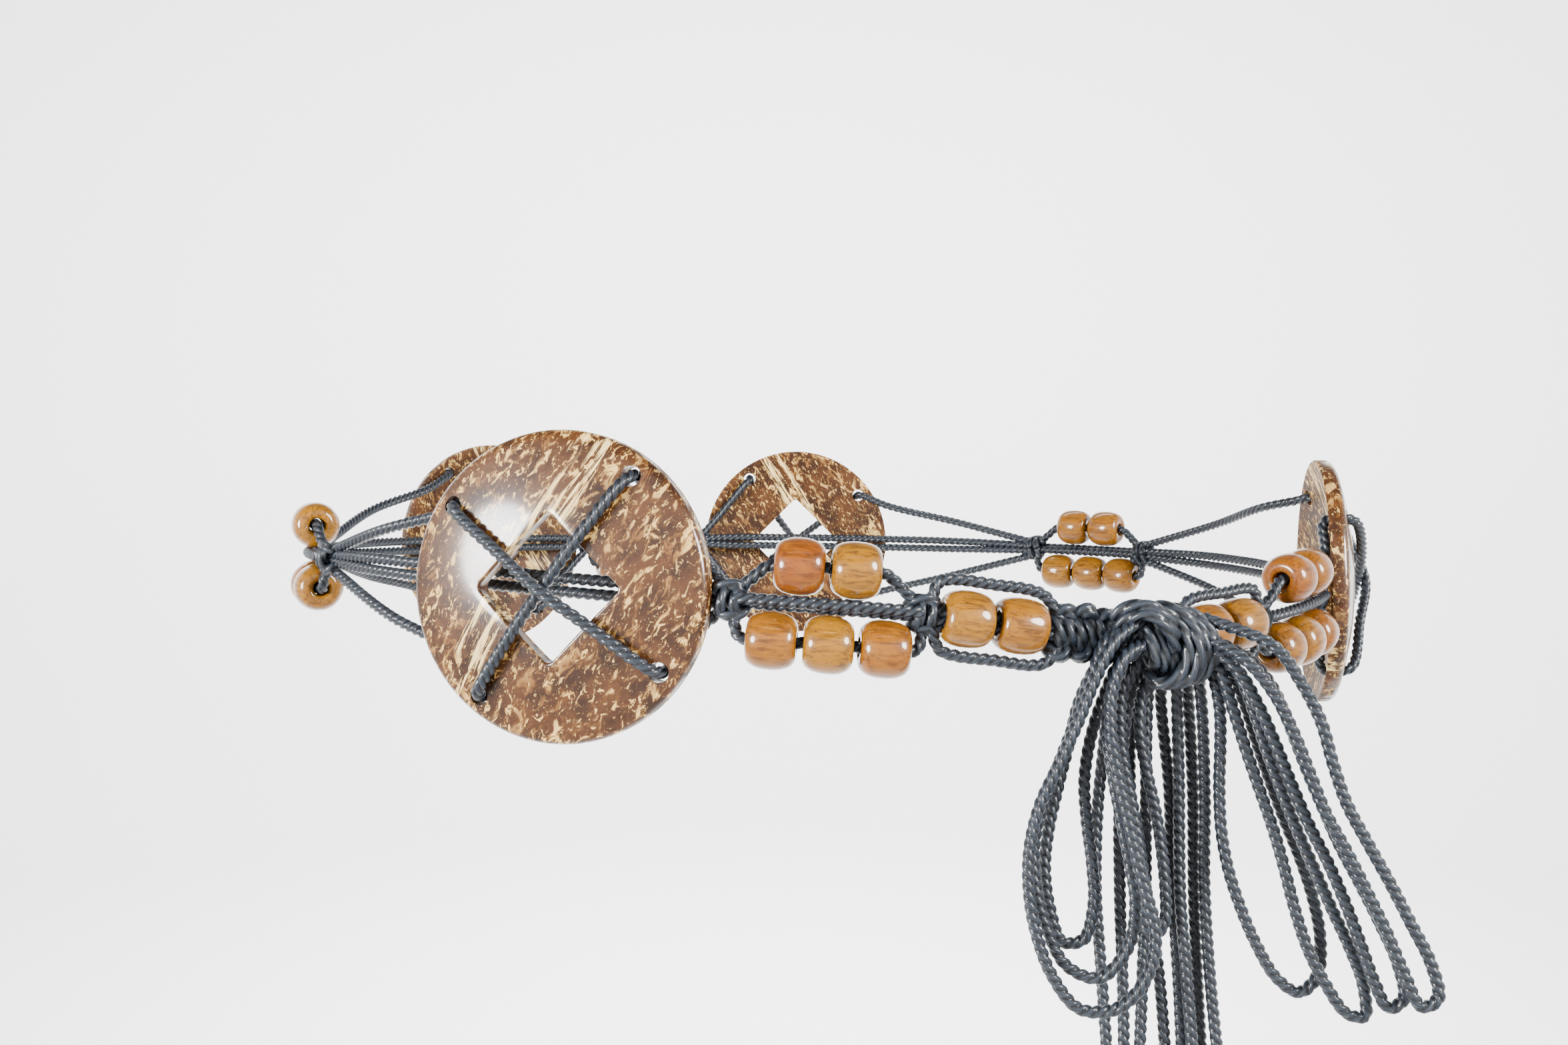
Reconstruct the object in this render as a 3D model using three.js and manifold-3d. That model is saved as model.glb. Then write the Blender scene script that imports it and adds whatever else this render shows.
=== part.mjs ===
// Rope belt: coconut discs and wooden beads on four knotted cords, tied in front in a bow.
// Millimetres, +Z up. The origin is the middle of the waist that the belt goes round.
// The wearer's front faces -Y, and +X is to the right of someone who looks at the belt.
import * as THREE from "three";
import { mergeVertices } from "three/addons/utils/BufferGeometryUtils.js";
import Module from "manifold-3d";

const wasm = await Module();
wasm.setup();

// Waist
const WAIST_WIDTH = 220;
const WAIST_DEPTH = 170;
const BELT_HIGH = 6.4;      // height of the cords at the back
const BELT_SAG = 15;        // how far the bow pulls the front down

// Cords
const CORD_DIAMETER = 2.3;
const CORD_SEAT = 5;        // waist to the middle of a knot
const CLEARANCE = 0.3;      // between pieces that touch
const CORD_SIDES = 5;
const FREE_CORD_SIDES = 8;

// Square knots between the bead groups
const KNOT_LENGTH = 4.6;
const KNOT_HEIGHT = 7;
const KNOT_DEPTH = 6;

// Row of square knots beside the bow
const BRAID_LUMP_LENGTH = 6.4;
const BRAID_LUMP_HEIGHT = 9.6;
const BRAID_PITCH = 4.2;
const BRAID_LUMPS_LEFT = 4;
const BRAID_LUMPS_RIGHT = 2;

// Beads
const BEAD_DIAMETER = 10.2;
const BEAD_LENGTH = 9.1;
const BEAD_SHOULDER = 0.84;      // share of the bead's radius near its ends
const BEAD_SHOULDER_AT = 0.82;   // share of its half length
const BEAD_SIDES = 10;
const BEAD_GAP = 0.5;
const BEAD_SEAT = 6;        // waist to the bore
const BORE_CLEARANCE = 0.45;

// Discs
const DISC_DIAMETER = 55.4;
const DISC_THICKNESS = 3.5;
const DISC_DOME_RADIUS = 85;
const DISC_SIDES = 24;
const DISC_WINDOW = 19;     // side of the square window, which stands on a corner
const LACE_INSET = 3.7;     // disc edge to the middle of a lacing hole
const LACE_TURN = 8.5;      // degrees that the four lacing holes are turned
const LACE_HOLE_CLEARANCE = 0.65;
const DISC_SEAT = 8.6;      // waist to the inner face at the disc's centre
const BEHIND_DISC = 2.3;    // waist to the cords that run behind a disc
const FAN_LENGTH = 71.3;    // disc centre to the knot where the cords fan out
const FRONT_DISC_TURN = 4.5;  // degrees
const FRONT_DISC_LIFT = 0.8;
const SIDE_DISC_TURN = -4;
const SIDE_DISC_TUCK = 4.5; // how far the side disc stands over the knot beside it
const SIDE_DISC_LIFT = 1.3;

// Bow
const BOW_ALONG = 57.4;     // from the middle of the front
const BOW_LENGTH = 17;
const BOW_HEIGHT = 16;
const BOW_DEPTH = 9;
const BOW_WRAPS = 4;
const BOW_WRAP_LEAN = 35;   // degrees from upright

const COLORS = {
  cord: 0x2f3a46,
  bead: 0xb8651f,
  disc: 0x4a2b1c,
};

const cordMaterial = new THREE.MeshStandardMaterial({ color: COLORS.cord, roughness: 0.6, metalness: 0 });
const beadMaterial = new THREE.MeshStandardMaterial({ color: COLORS.bead, roughness: 0.25, metalness: 0 });
const discMaterial = new THREE.MeshStandardMaterial({ color: COLORS.disc, roughness: 0.3, metalness: 0 });

const cordRadius = CORD_DIAMETER / 2;
const pairRadius = cordRadius * Math.SQRT2;   // two cords side by side, as one solid
const beadPitch = BEAD_LENGTH + BEAD_GAP;
const rowRise = BEAD_DIAMETER / 2 + cordRadius + CLEARANCE;
const groupReach = 1.5 * BEAD_LENGTH + BEAD_GAP + CLEARANCE + KNOT_LENGTH / 2;
const pairReach = BEAD_LENGTH + BEAD_GAP / 2 + CLEARANCE;
const halfKnot = KNOT_LENGTH / 2;
const laceRadius = DISC_DIAMETER / 2 - LACE_INSET;
const knotEntry = KNOT_LENGTH * 0.15;   // cords end this far before the middle of a knot

// The line that the knots lie on, measured from the middle of the front towards +X
const beltLine = new THREE.EllipseCurve(
  0, 0, WAIST_WIDTH / 2 + CORD_SEAT, WAIST_DEPTH / 2 + CORD_SEAT, -Math.PI / 2, 1.5 * Math.PI,
);
beltLine.arcLengthDivisions = 1000;
const beltLength = beltLine.getLength();

// Height of that line. along: share of its length from the front. drop: share of the sag.
const BELT_DROPS = [
  { along: -0.66, drop: 0.22 },
  { along: -0.5, drop: 0.02 },
  { along: -0.34, drop: 0.02 },
  { along: -0.18, drop: 0.13 },
  { along: -0.07, drop: 0.39 },
  { along: 0.026, drop: 0.68 },
  { along: 0.089, drop: 1.0 },
  { along: 0.14, drop: 0.86 },
  { along: 0.23, drop: 0.52 },
  { along: 0.34, drop: 0.22 },
  { along: 0.5, drop: 0.02 },
  { along: 0.66, drop: 0.02 },
];
const dropCurve = new THREE.CubicInterpolant(
  BELT_DROPS.map((row) => row.along), BELT_DROPS.map((row) => row.drop), 1, [0],
);

function beltHeight(along) {
  let share = along / beltLength;
  share -= Math.round(share);
  return BELT_HIGH - BELT_SAG * dropCurve.evaluate(share)[0];
}

// A frame on the belt line: X along the belt, Y up, Z away from the waist
function beltFrame(along) {
  const share = THREE.MathUtils.euclideanModulo(along / beltLength, 1);
  const point = beltLine.getPointAt(share);
  const tangent = beltLine.getTangentAt(share);
  const forward = new THREE.Vector3(tangent.x, tangent.y, 0);
  const up = new THREE.Vector3(0, 0, 1);
  const out = new THREE.Vector3().crossVectors(forward, up);
  const frame = new THREE.Matrix4().makeBasis(forward, up, out);
  return frame.setPosition(point.x, point.y, beltHeight(along));
}

// A point by its place along the belt, its height over the belt line and its distance from the waist
function beltPoint({ along, rise, out }) {
  return new THREE.Vector3(0, rise, out - CORD_SEAT).applyMatrix4(beltFrame(along));
}

// A line whose tube has one ring at each chosen point. The tube may take a stretch of the line,
// given by the numbers of the points where it starts and ends.
class CordLine extends THREE.CatmullRomCurve3 {
  constructor(points, start = 0, end = points.length - 1) {
    super(points, false, "centripetal");
    this.from = start / (points.length - 1);
    this.to = end / (points.length - 1);
  }

  getPointAt(share) {
    return this.getPoint(THREE.MathUtils.lerp(this.from, this.to, share));
  }

  getTangentAt(share) {
    return this.getTangent(THREE.MathUtils.lerp(this.from, this.to, share));
  }
}

function polygon(radius, sides) {
  const corners = [];
  for (let i = 0; i < sides; i += 1) {
    const angle = (i / sides) * 2 * Math.PI;
    corners.push(new THREE.Vector2(radius * Math.cos(angle), radius * Math.sin(angle)));
  }
  return new THREE.Shape(corners);
}

function sweep(line, steps, radius, sides) {
  return new THREE.ExtrudeGeometry(polygon(radius, sides), {
    steps, bevelEnabled: false, extrudePath: line,
  });
}

const tube = (points, radius = cordRadius) => (
  sweep(new CordLine(points), points.length - 1, radius, CORD_SIDES)
);

// Solids that are joined or cut
function solid(geometry) {
  const bare = geometry.clone();
  bare.deleteAttribute("normal");
  bare.deleteAttribute("uv");
  const merged = mergeVertices(bare, 1e-4);
  return new wasm.Manifold(new wasm.Mesh({
    numProp: 3,
    vertProperties: new Float32Array(merged.attributes.position.array),
    triVerts: new Uint32Array(merged.index.array),
  }));
}

function geometryOf(body) {
  const mesh = body.getMesh();
  const geometry = new THREE.BufferGeometry();
  geometry.setAttribute("position", new THREE.BufferAttribute(mesh.vertProperties, 3));
  geometry.setIndex(new THREE.BufferAttribute(mesh.triVerts, 1));
  return geometry;
}

const join = (bodies) => bodies.reduce((whole, body) => whole.add(body));

function meshOf(name, geometry, material, matrix = new THREE.Matrix4()) {
  const mesh = new THREE.Mesh(geometry, material);
  mesh.name = name;
  mesh.applyMatrix4(matrix);
  return mesh;
}

// A knot as a round lump on the belt line
function lump({ along, length, height, depth, rise = 0, out = CORD_SEAT, grow = 0 }) {
  const ball = new THREE.SphereGeometry(1, 8, 4);
  ball.rotateZ(Math.PI / 2);
  ball.scale(length / 2 + grow, height / 2 + grow, depth / 2 + grow);
  ball.translate(0, rise, out - CORD_SEAT);
  return solid(ball.applyMatrix4(beltFrame(along)));
}

const knot = (along, grow = 0) => lump({
  along, length: KNOT_LENGTH, height: KNOT_HEIGHT, depth: KNOT_DEPTH, grow,
});

// Beads
function beadGeometry(boreRadius) {
  const radius = BEAD_DIAMETER / 2;
  const shoulder = radius * BEAD_SHOULDER;
  const half = BEAD_LENGTH / 2;
  const turn = half * BEAD_SHOULDER_AT;
  const profile = [
    [boreRadius, -half], [shoulder, -turn], [radius, 0], [shoulder, turn], [boreRadius, half],
    [boreRadius, -half],
  ];
  return new THREE.LatheGeometry(profile.map(([r, h]) => new THREE.Vector2(r, h)), BEAD_SIDES);
}

function bead(name, along, rise, boreRadius) {
  const before = beltPoint({ along: along - BEAD_LENGTH / 2, rise, out: BEAD_SEAT });
  const after = beltPoint({ along: along + BEAD_LENGTH / 2, rise, out: BEAD_SEAT });
  const axis = new THREE.Vector3().subVectors(after, before).normalize();
  const turn = new THREE.Quaternion().setFromUnitVectors(new THREE.Vector3(0, 1, 0), axis);
  const matrix = new THREE.Matrix4().compose(
    before.add(after).multiplyScalar(0.5), turn, new THREE.Vector3(1, 1, 1),
  );
  return meshOf(name, beadGeometry(boreRadius), beadMaterial, matrix);
}

const rowBore = cordRadius + BORE_CLEARANCE;
const pairBore = pairRadius + BORE_CLEARANCE;

// Two beads over three
function beadGroup(name, centre) {
  const beads = [];
  for (const step of [-0.5, 0.5]) {
    beads.push(bead(`${name}_bead_upper_${beads.length + 1}`, centre + step * beadPitch, rowRise, rowBore));
  }
  for (const step of [-1, 0, 1]) {
    beads.push(bead(`${name}_bead_lower_${step + 2}`, centre + step * beadPitch, -rowRise, rowBore));
  }
  return beads;
}

const beadPair = (name, centre) => [-0.5, 0.5].map(
  (step, i) => bead(`${name}_bead_${i + 1}`, centre + step * beadPitch, 0, pairBore),
);

// Cords of a bead group from knot to knot. at: share of the way from the middle to a knot.
// rise: share of the row's height.
const UPPER_CORD = [
  { at: 1, rise: 0.15 }, { at: 0.8, rise: 0.6 }, { at: 0.6, rise: 0.98 }, { at: 0.3, rise: 1 },
];
const LOWER_CORD = [
  { at: 1, rise: 0.25 }, { at: 0.985, rise: 0.72 }, { at: 0.945, rise: 0.95 }, { at: 0.89, rise: 1 },
  { at: 0.3, rise: 1 },
];

function groupCords(centre) {
  const reach = groupReach - knotEntry;
  const row = (rows, sign) => [-1, 1].map((way) => rows.map(({ at, rise }) => beltPoint({
    along: centre + way * at * reach,
    rise: sign * rise * rowRise,
    out: at === 1 ? CORD_SEAT : BEAD_SEAT,
  })));
  const bothWays = ([left, right]) => [...left, ...right.reverse()];
  const middle = (side) => [-1, -0.5, 0, 0.5, 1].map((at) => beltPoint({
    along: centre + at * reach, rise: 0, out: BEAD_SEAT + side * (cordRadius + CLEARANCE / 2),
  }));
  return [
    tube(bothWays(row(UPPER_CORD, 1))), tube(bothWays(row(LOWER_CORD, -1))),
    tube(middle(1)), tube(middle(-1)),
  ];
}

// Cords of a bead pair: two through the beads, one over them and one under them.
// before and after: distances from the pair's middle to where the cords begin and end.
function pairCords(centre, before, after) {
  const across = (rise, out) => [
    { along: -before, rise: rise * 0.25 }, { along: -pairReach, rise: rise * 0.88 },
    { along: -pairReach * 0.72, rise }, { along: 0, rise }, { along: pairReach * 0.72, rise },
    { along: pairReach, rise: rise * 0.88 }, { along: after, rise: rise * 0.25 },
  ].map((row) => beltPoint({ along: centre + row.along, rise: row.rise, out }));
  const through = [-before, -pairReach / 2, pairReach / 2, after].map(
    (along) => beltPoint({ along: centre + along, rise: 0, out: BEAD_SEAT }),
  );
  return [
    tube(across(rowRise, BEAD_SEAT)), tube(across(-rowRise, BEAD_SEAT)), tube(through, pairRadius),
  ];
}

// Places on the belt line, walked outwards from the bow
const braidReach = (lumps) => CLEARANCE / 2 + BRAID_LUMP_LENGTH + (lumps - 1) * BRAID_PITCH;
const nearReach = DISC_DIAMETER / 2 + CLEARANCE + KNOT_LENGTH / 2;
const frontPair = BOW_ALONG - braidReach(BRAID_LUMPS_LEFT) - pairReach;
const frontGroup = frontPair - pairReach - halfKnot - groupReach;
const frontDisc = frontGroup - groupReach - nearReach;
const leftGroup = frontDisc - FAN_LENGTH - groupReach;
const sidePair = BOW_ALONG + braidReach(BRAID_LUMPS_RIGHT) + pairReach;
const sideGroup = sidePair + pairReach + halfKnot + groupReach;
const sideDisc = sideGroup + groupReach + nearReach - SIDE_DISC_TUCK;
const rightGroup = sideDisc + FAN_LENGTH + groupReach;
const backGroup = (rightGroup + leftGroup + beltLength) / 2;
const backDisc = backGroup - groupReach - nearReach;
const leftDisc = backGroup + groupReach + nearReach;

// near: the knot right beside the disc. far: the knot that its cords fan out from.
const DISCS = [
  {
    name: "front", along: frontDisc, turn: FRONT_DISC_TURN, lift: FRONT_DISC_LIFT,
    near: frontGroup - groupReach, far: leftGroup + groupReach,
  },
  {
    name: "side", along: sideDisc, turn: SIDE_DISC_TURN, lift: SIDE_DISC_LIFT,
    near: sideGroup + groupReach, far: rightGroup - groupReach,
  },
  {
    name: "back", along: backDisc, turn: 0, lift: 0,
    near: backGroup - groupReach, far: rightGroup + groupReach,
  },
  {
    name: "left", along: leftDisc, turn: 0, lift: 0,
    near: backGroup + groupReach, far: leftGroup + beltLength - groupReach,
  },
];

// Discs. Height of the dome's inner face at a distance from the middle, 0 in the middle.
const dome = (radius) => Math.sqrt(DISC_DOME_RADIUS ** 2 - radius ** 2) - DISC_DOME_RADIUS;

function discFrame({ along, turn, lift }) {
  const frame = beltFrame(along);
  frame.multiply(new THREE.Matrix4().makeTranslation(0, 0, DISC_SEAT + lift - CORD_SEAT));
  return frame.multiply(new THREE.Matrix4().makeRotationY(THREE.MathUtils.degToRad(turn)));
}

// Middle of a lacing hole. way: +1 or -1 along the belt, level: +1 above or -1 below.
function laceHole(way, level) {
  const angle = Math.atan2(level, way) + THREE.MathUtils.degToRad(LACE_TURN);
  return new THREE.Vector2(laceRadius * Math.cos(angle), laceRadius * Math.sin(angle));
}

function discSolid() {
  const radius = DISC_DIAMETER / 2;
  const rings = [0, radius * 0.62, radius];
  const outer = rings.map((r) => new THREE.Vector2(r, dome(r) + DISC_THICKNESS));
  const inner = rings.map((r) => new THREE.Vector2(r, dome(r)));
  const shell = new THREE.LatheGeometry([...inner, ...outer.reverse()], DISC_SIDES);
  const window = new THREE.BoxGeometry(DISC_WINDOW, DISC_WINDOW, DISC_DIAMETER);
  let disc = solid(shell.rotateX(Math.PI / 2)).subtract(solid(window.rotateZ(Math.PI / 4)));
  const holeRadius = cordRadius + LACE_HOLE_CLEARANCE;
  for (const [way, level] of [[1, 1], [-1, 1], [-1, -1], [1, -1]]) {
    const hole = new THREE.CylinderGeometry(holeRadius, holeRadius, DISC_DIAMETER, 6);
    const middle = laceHole(way, level);
    disc = disc.subtract(solid(hole.rotateX(Math.PI / 2).translate(middle.x, middle.y, 0)));
  }
  return disc;
}

// One lacing cord: from the near knot behind the disc, out through a hole, across the front to the
// opposite hole and behind the disc again to the far knot
function laceCord(disc, level, lift) {
  const way = Math.sign(disc.near - disc.along);
  const frame = discFrame(disc);
  const from = laceHole(way, level);
  const to = laceHole(-way, -level);
  const behind = cordRadius + 2 * CLEARANCE;
  const place = (point, z) => new THREE.Vector3(point.x, point.y, z).applyMatrix4(frame);
  const back = (point) => place(point, dome(point.length()) - behind);
  const front = (point, over) => place(point, dome(point.length()) + DISC_THICKNESS + over);
  const face = dome(laceRadius);
  const through = (hole, knotSpot) => {
    const step = knotSpot.clone().sub(hole).setLength(CORD_DIAMETER * 0.7);
    return [
      back(hole.clone().add(step)),
      place(hole, face - CLEARANCE),
      place(hole, face + DISC_THICKNESS * 0.9),
      front(hole.clone().multiplyScalar(0.94), cordRadius + CLEARANCE),
    ];
  };
  const nearSpot = new THREE.Vector2(disc.near - disc.along, 0);
  const farSpot = new THREE.Vector2(disc.far - disc.along, 0);
  const knotRise = level * KNOT_HEIGHT * 0.2;
  const fan = [
    { at: 0.18, rise: 0.79, out: 0.44 }, { at: 0.55, rise: 0.5, out: 0.66 },
    { at: 1, rise: 0.12, out: 0.92 },
  ];
  return tube([
    beltPoint({ along: disc.near - way * knotEntry, rise: knotRise, out: CORD_SEAT * 0.8 }),
    back(from.clone().lerp(nearSpot, 0.5)),
    ...through(from, nearSpot),
    front(from.clone().multiplyScalar(0.45), cordRadius + CLEARANCE * 2),
    front(new THREE.Vector2(0, 0), cordRadius + CLEARANCE + lift),
    front(to.clone().multiplyScalar(0.45), cordRadius + CLEARANCE * 2),
    ...through(to, farSpot).reverse(),
    ...fan.map(({ at, rise, out }) => beltPoint({
      along: THREE.MathUtils.lerp(disc.along + to.x, disc.far + way * knotEntry, at),
      rise: to.y * rise,
      out: CORD_SEAT * out,
    })),
  ]);
}

// The two cords that run straight behind the disc
function discMiddleCords(disc) {
  const way = Math.sign(disc.near - disc.along);
  const stations = [
    { at: disc.near - way * knotEntry, out: CORD_SEAT * 0.7 },
    { at: THREE.MathUtils.lerp(disc.near, disc.along, 0.3), out: BEHIND_DISC },
    { at: disc.along, out: BEHIND_DISC },
    { at: THREE.MathUtils.lerp(disc.along, disc.far, 0.35), out: BEHIND_DISC },
    { at: THREE.MathUtils.lerp(disc.along, disc.far, 0.7), out: BEHIND_DISC + 1 },
    { at: disc.far + way * knotEntry, out: CORD_SEAT * 0.9 },
  ];
  return tube(stations.map(({ at, out }) => beltPoint({ along: at, rise: 0, out })), pairRadius);
}

const discCords = (disc) => [
  laceCord(disc, 1, 0),
  laceCord(disc, -1, cordRadius * 1.6),
  discMiddleCords(disc),
];

// A stretch of cords with the knot at its -X end, stopped short of the knot that follows
function cordStretch(name, geometries, ownKnot, nextKnot) {
  const body = join([knot(ownKnot), ...geometries.map(solid)]).subtract(knot(nextKnot, CLEARANCE));
  return meshOf(name, geometryOf(body), cordMaterial);
}

const braid = (first, lumps) => Array.from({ length: lumps }, (_, i) => lump({
  along: first + i * BRAID_PITCH, length: BRAID_LUMP_LENGTH, height: BRAID_LUMP_HEIGHT, depth: KNOT_DEPTH,
}));

// Free cords of the bow. Each hangs in a plane of its own at depth y. Rows of points are [x, z]. The
// first point, and the last one of a loop, lie inside the knot, and the cord comes out of the knot at
// the point beside it.
const KNOT_Y = -85;
const LOOPS = [
  {
    name: "bow_loop_left_1",
    y: -90.7,
    points: [
      [57, -9], [51.4, -10.2], [48.6, -16.5], [48.3, -23.5], [49.4, -30.5], [51, -37.5], [52.6, -44.5],
      [54.4, -51.5], [56, -58.5], [54.6, -65.5], [49.6, -71], [43, -71.2], [38.4, -65.8], [35.6, -58.6],
      [34.3, -51.2], [34.4, -43.6], [36.2, -36.2], [39.6, -29], [42.8, -21.8], [45.8, -14.4],
      [49.6, -7.6], [57, -4],
    ],
  },
  {
    name: "bow_loop_left_2",
    y: -88,
    points: [
      [57, -9.5], [51.4, -11.5], [48.9, -18], [48.5, -25.2], [49.4, -32.4], [50.8, -39.6], [52.2, -46.8],
      [53.2, -54], [52, -61.4], [47, -66.8], [41.2, -64.6], [37.8, -58], [36, -51], [35.7, -43.8],
      [37.2, -36.6], [40, -29.6], [42.8, -22.4], [45.4, -15.2], [48.8, -7.8], [57, -5],
    ],
  },
  {
    name: "bow_loop_left_3",
    y: -85.3,
    points: [
      [57, -10], [51.4, -12.5], [48.2, -19], [46, -26], [45, -33.2], [45.4, -40.4], [46.3, -47.6],
      [46.6, -54.8], [44.8, -61], [41.2, -61.4], [39, -55.6], [38.1, -48.6], [38.8, -41.4], [40.4, -34.2],
      [42.2, -27], [44, -19.6], [47, -13.4], [51, -8.8], [57, -6.5],
    ],
  },
  {
    name: "bow_loop_left_4",
    y: -82.6,
    points: [
      [59.5, -11], [56.2, -17.6], [55.4, -24.6], [56.6, -31.8], [58.2, -39], [59.3, -46.2], [60, -53.4],
      [59.8, -58.8], [58, -61], [56.3, -58.8], [56.2, -52.4], [55.4, -45.4], [54.2, -38.4], [52.8, -31.4],
      [52, -24.4], [52.6, -17.4], [57, -9.5],
    ],
  },
  {
    name: "bow_loop_right_1",
    y: -82.6,
    points: [
      [63.5, -8.5], [67.8, -13.5], [69.5, -20.5], [69.7, -27.6], [69.5, -34.8], [69.8, -42], [71, -49],
      [73.2, -56], [76, -62.6], [79.6, -68.6], [83.6, -71.2], [86.8, -68.4], [87.4, -62], [86.2, -55],
      [84, -48], [81.2, -41], [78.6, -34], [76.2, -27], [74, -20], [71.2, -13.4], [65, -6.5],
    ],
  },
  {
    name: "bow_loop_right_2",
    y: -85.3,
    points: [
      [64, -9], [68.6, -13.8], [71, -20.6], [73.2, -27.6], [75.6, -34.6], [78, -41.6], [80, -48.6],
      [81.8, -55.6], [84, -62.4], [87.2, -68.8], [91, -74], [94, -74.4], [93.8, -69], [91.4, -62.4],
      [88.4, -55.8], [85.4, -49], [82.4, -42.2], [79.6, -35.2], [77, -28.2], [74.8, -21.4],
      [72, -14.6], [65.5, -7],
    ],
  },
  {
    name: "bow_loop_right_3",
    y: -88,
    points: [
      [64.5, -8.5], [70.6, -13.2], [74.4, -19.4], [77.4, -26.2], [80.2, -33.2], [83.2, -40.2],
      [86.6, -47], [89.6, -54], [92.2, -61], [94.6, -67.6], [97, -72], [99.6, -70.4], [98.6, -64.4],
      [95.6, -57.6], [92.2, -50.8], [88.6, -44], [85.4, -36.8], [82.4, -29.6], [79.6, -22.4],
      [76.6, -16], [73, -11.8], [65.5, -7.5],
    ],
  },
  {
    name: "bow_loop_right_4",
    y: -90.7,
    points: [
      [64.5, -7.5], [71.4, -11.6], [76, -17], [79.4, -23.6], [82.2, -30.6], [85, -37.6], [88.6, -44.2],
      [92, -51], [95.4, -58], [98.4, -65], [101.4, -70.8], [104.2, -69.4], [103, -63.4], [99.6, -56.6],
      [96, -49.6], [92.2, -42.8], [88.6, -36], [86.2, -29], [84.2, -22], [80.6, -15], [76.2, -9.2],
      [65.5, -4.5],
    ],
  },
];
const TAILS = [
  {
    name: "bow_tail_1",
    y: -79.8,
    points: [[57, -11], [52, -17.6], [49.2, -33], [48.3, -52], [49.4, -70], [50.8, -90]],
  },
  {
    name: "bow_tail_2",
    y: -79.8,
    points: [[57, -11], [54.8, -17.6], [52.7, -35], [52.6, -54], [53.2, -73], [53.4, -92]],
  },
  {
    name: "bow_tail_3",
    y: -79.8,
    points: [[58, -11], [57.8, -17.6], [57.3, -36], [57.2, -54], [56.6, -71], [56, -88]],
  },
  {
    name: "bow_tail_4",
    y: -77.1,
    points: [[58, -11], [56.2, -17.6], [55.2, -36], [57.8, -53], [60.4, -70], [62, -91]],
  },
  {
    name: "bow_tail_5",
    y: -79.8,
    points: [[61, -11], [62.8, -17.6], [63.2, -36], [63.4, -54], [64.7, -71], [66.2, -89]],
  },
  {
    name: "bow_tail_6",
    y: -77.1,
    points: [[63, -11], [65.6, -17.6], [66.5, -36], [66.7, -55], [67.4, -72], [68.6, -93]],
  },
  {
    name: "bow_tail_7",
    y: -79.8,
    points: [[64, -11], [67, -17.6], [67.8, -35], [67.8, -54], [69, -72], [70.4, -86]],
  },
  {
    name: "bow_tail_8",
    y: -77.1,
    points: [[61, -11], [60.8, -17.6], [62.2, -36], [62.9, -55], [64, -73], [65, -94]],
  },
];

const spotsOf = ({ y, points }, isLoop) => points.map(([x, z], i) => {
  const inKnot = i === 0 || (isLoop && i === points.length - 1);
  return new THREE.Vector3(x, inKnot ? KNOT_Y : y, z);
});

// The short ends that belong to the knot
function knotEnds(cord, isLoop) {
  const spots = spotsOf(cord, isLoop);
  const last = spots.length - 1;
  const ends = [new CordLine(spots, 0, 1)];
  if (isLoop) {
    ends.push(new CordLine(spots, last - 1, last));
  }
  return ends.map((line) => sweep(line, 1, cordRadius, CORD_SIDES));
}

function freeCord(cord, isLoop) {
  const spots = spotsOf(cord, isLoop);
  const last = spots.length - 1;
  const gap = (from, to) => CLEARANCE / spots[from].distanceTo(spots[to]);
  const start = 1 + gap(1, 2);
  const end = isLoop ? last - 1 - gap(last - 1, last - 2) : last;
  const steps = isLoop ? last - 2 : 2 * (last - 1);
  const geometry = sweep(new CordLine(spots, start, end), steps, cordRadius, FREE_CORD_SIDES);
  return meshOf(cord.name, geometry, cordMaterial);
}

// The bow's knot: a core, cords wrapped over it, and the ends that hang out of it
const bowSeat = KNOT_DEPTH / 2 + CLEARANCE + BOW_DEPTH / 2;

function bowKnot() {
  const core = new THREE.SphereGeometry(1, 10, 6);
  const parts = [core.scale(BOW_LENGTH / 2, BOW_HEIGHT / 2, BOW_DEPTH / 2)];
  for (let i = 0; i < BOW_WRAPS; i += 1) {
    const aside = (i - (BOW_WRAPS - 1) / 2) * CORD_DIAMETER;
    const narrow = Math.sqrt(1 - (2 * aside / BOW_LENGTH) ** 2);
    const points = [-75, -40, 0, 40, 75].map((degrees) => {
      const angle = THREE.MathUtils.degToRad(degrees);
      return new THREE.Vector3(
        aside, Math.sin(angle) * BOW_HEIGHT / 2 * narrow, Math.cos(angle) * BOW_DEPTH / 2 * narrow,
      );
    });
    parts.push(tube(points).rotateZ(THREE.MathUtils.degToRad(BOW_WRAP_LEAN)));
  }
  const frame = beltFrame(BOW_ALONG).multiply(new THREE.Matrix4().makeTranslation(0, 0, bowSeat));
  const ends = [
    ...LOOPS.flatMap((loop) => knotEnds(loop, true)),
    ...TAILS.flatMap((tail) => knotEnds(tail, false)),
  ];
  return join([...parts.map((part) => part.applyMatrix4(frame)), ...ends].map(solid));
}

// Assembly
const belt = new THREE.Group();
belt.name = "rope_belt";

const cordsOf = (disc) => discCords(DISCS.find(({ name }) => name === disc));
const toKnot = pairReach + halfKnot - knotEntry;
const toBraid = pairReach + BRAID_LUMP_LENGTH / 2;
const leftEnd = join([
  knot(frontPair - pairReach - halfKnot),
  ...pairCords(frontPair, toKnot, toBraid).map(solid),
  ...braid(frontPair + toBraid, BRAID_LUMPS_LEFT),
]);
belt.add(meshOf("left_end_cords", geometryOf(leftEnd), cordMaterial));
belt.add(cordStretch(
  "front_group_cords", groupCords(frontGroup), frontGroup - groupReach, frontGroup + groupReach,
));
belt.add(cordStretch(
  "front_disc_cords", cordsOf("front"), leftGroup + groupReach, frontGroup - groupReach,
));
belt.add(cordStretch(
  "left_group_cords", groupCords(leftGroup), leftGroup - groupReach, leftGroup + groupReach,
));
belt.add(cordStretch(
  "left_disc_cords", cordsOf("left"), backGroup + groupReach, leftGroup + beltLength - groupReach,
));
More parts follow.
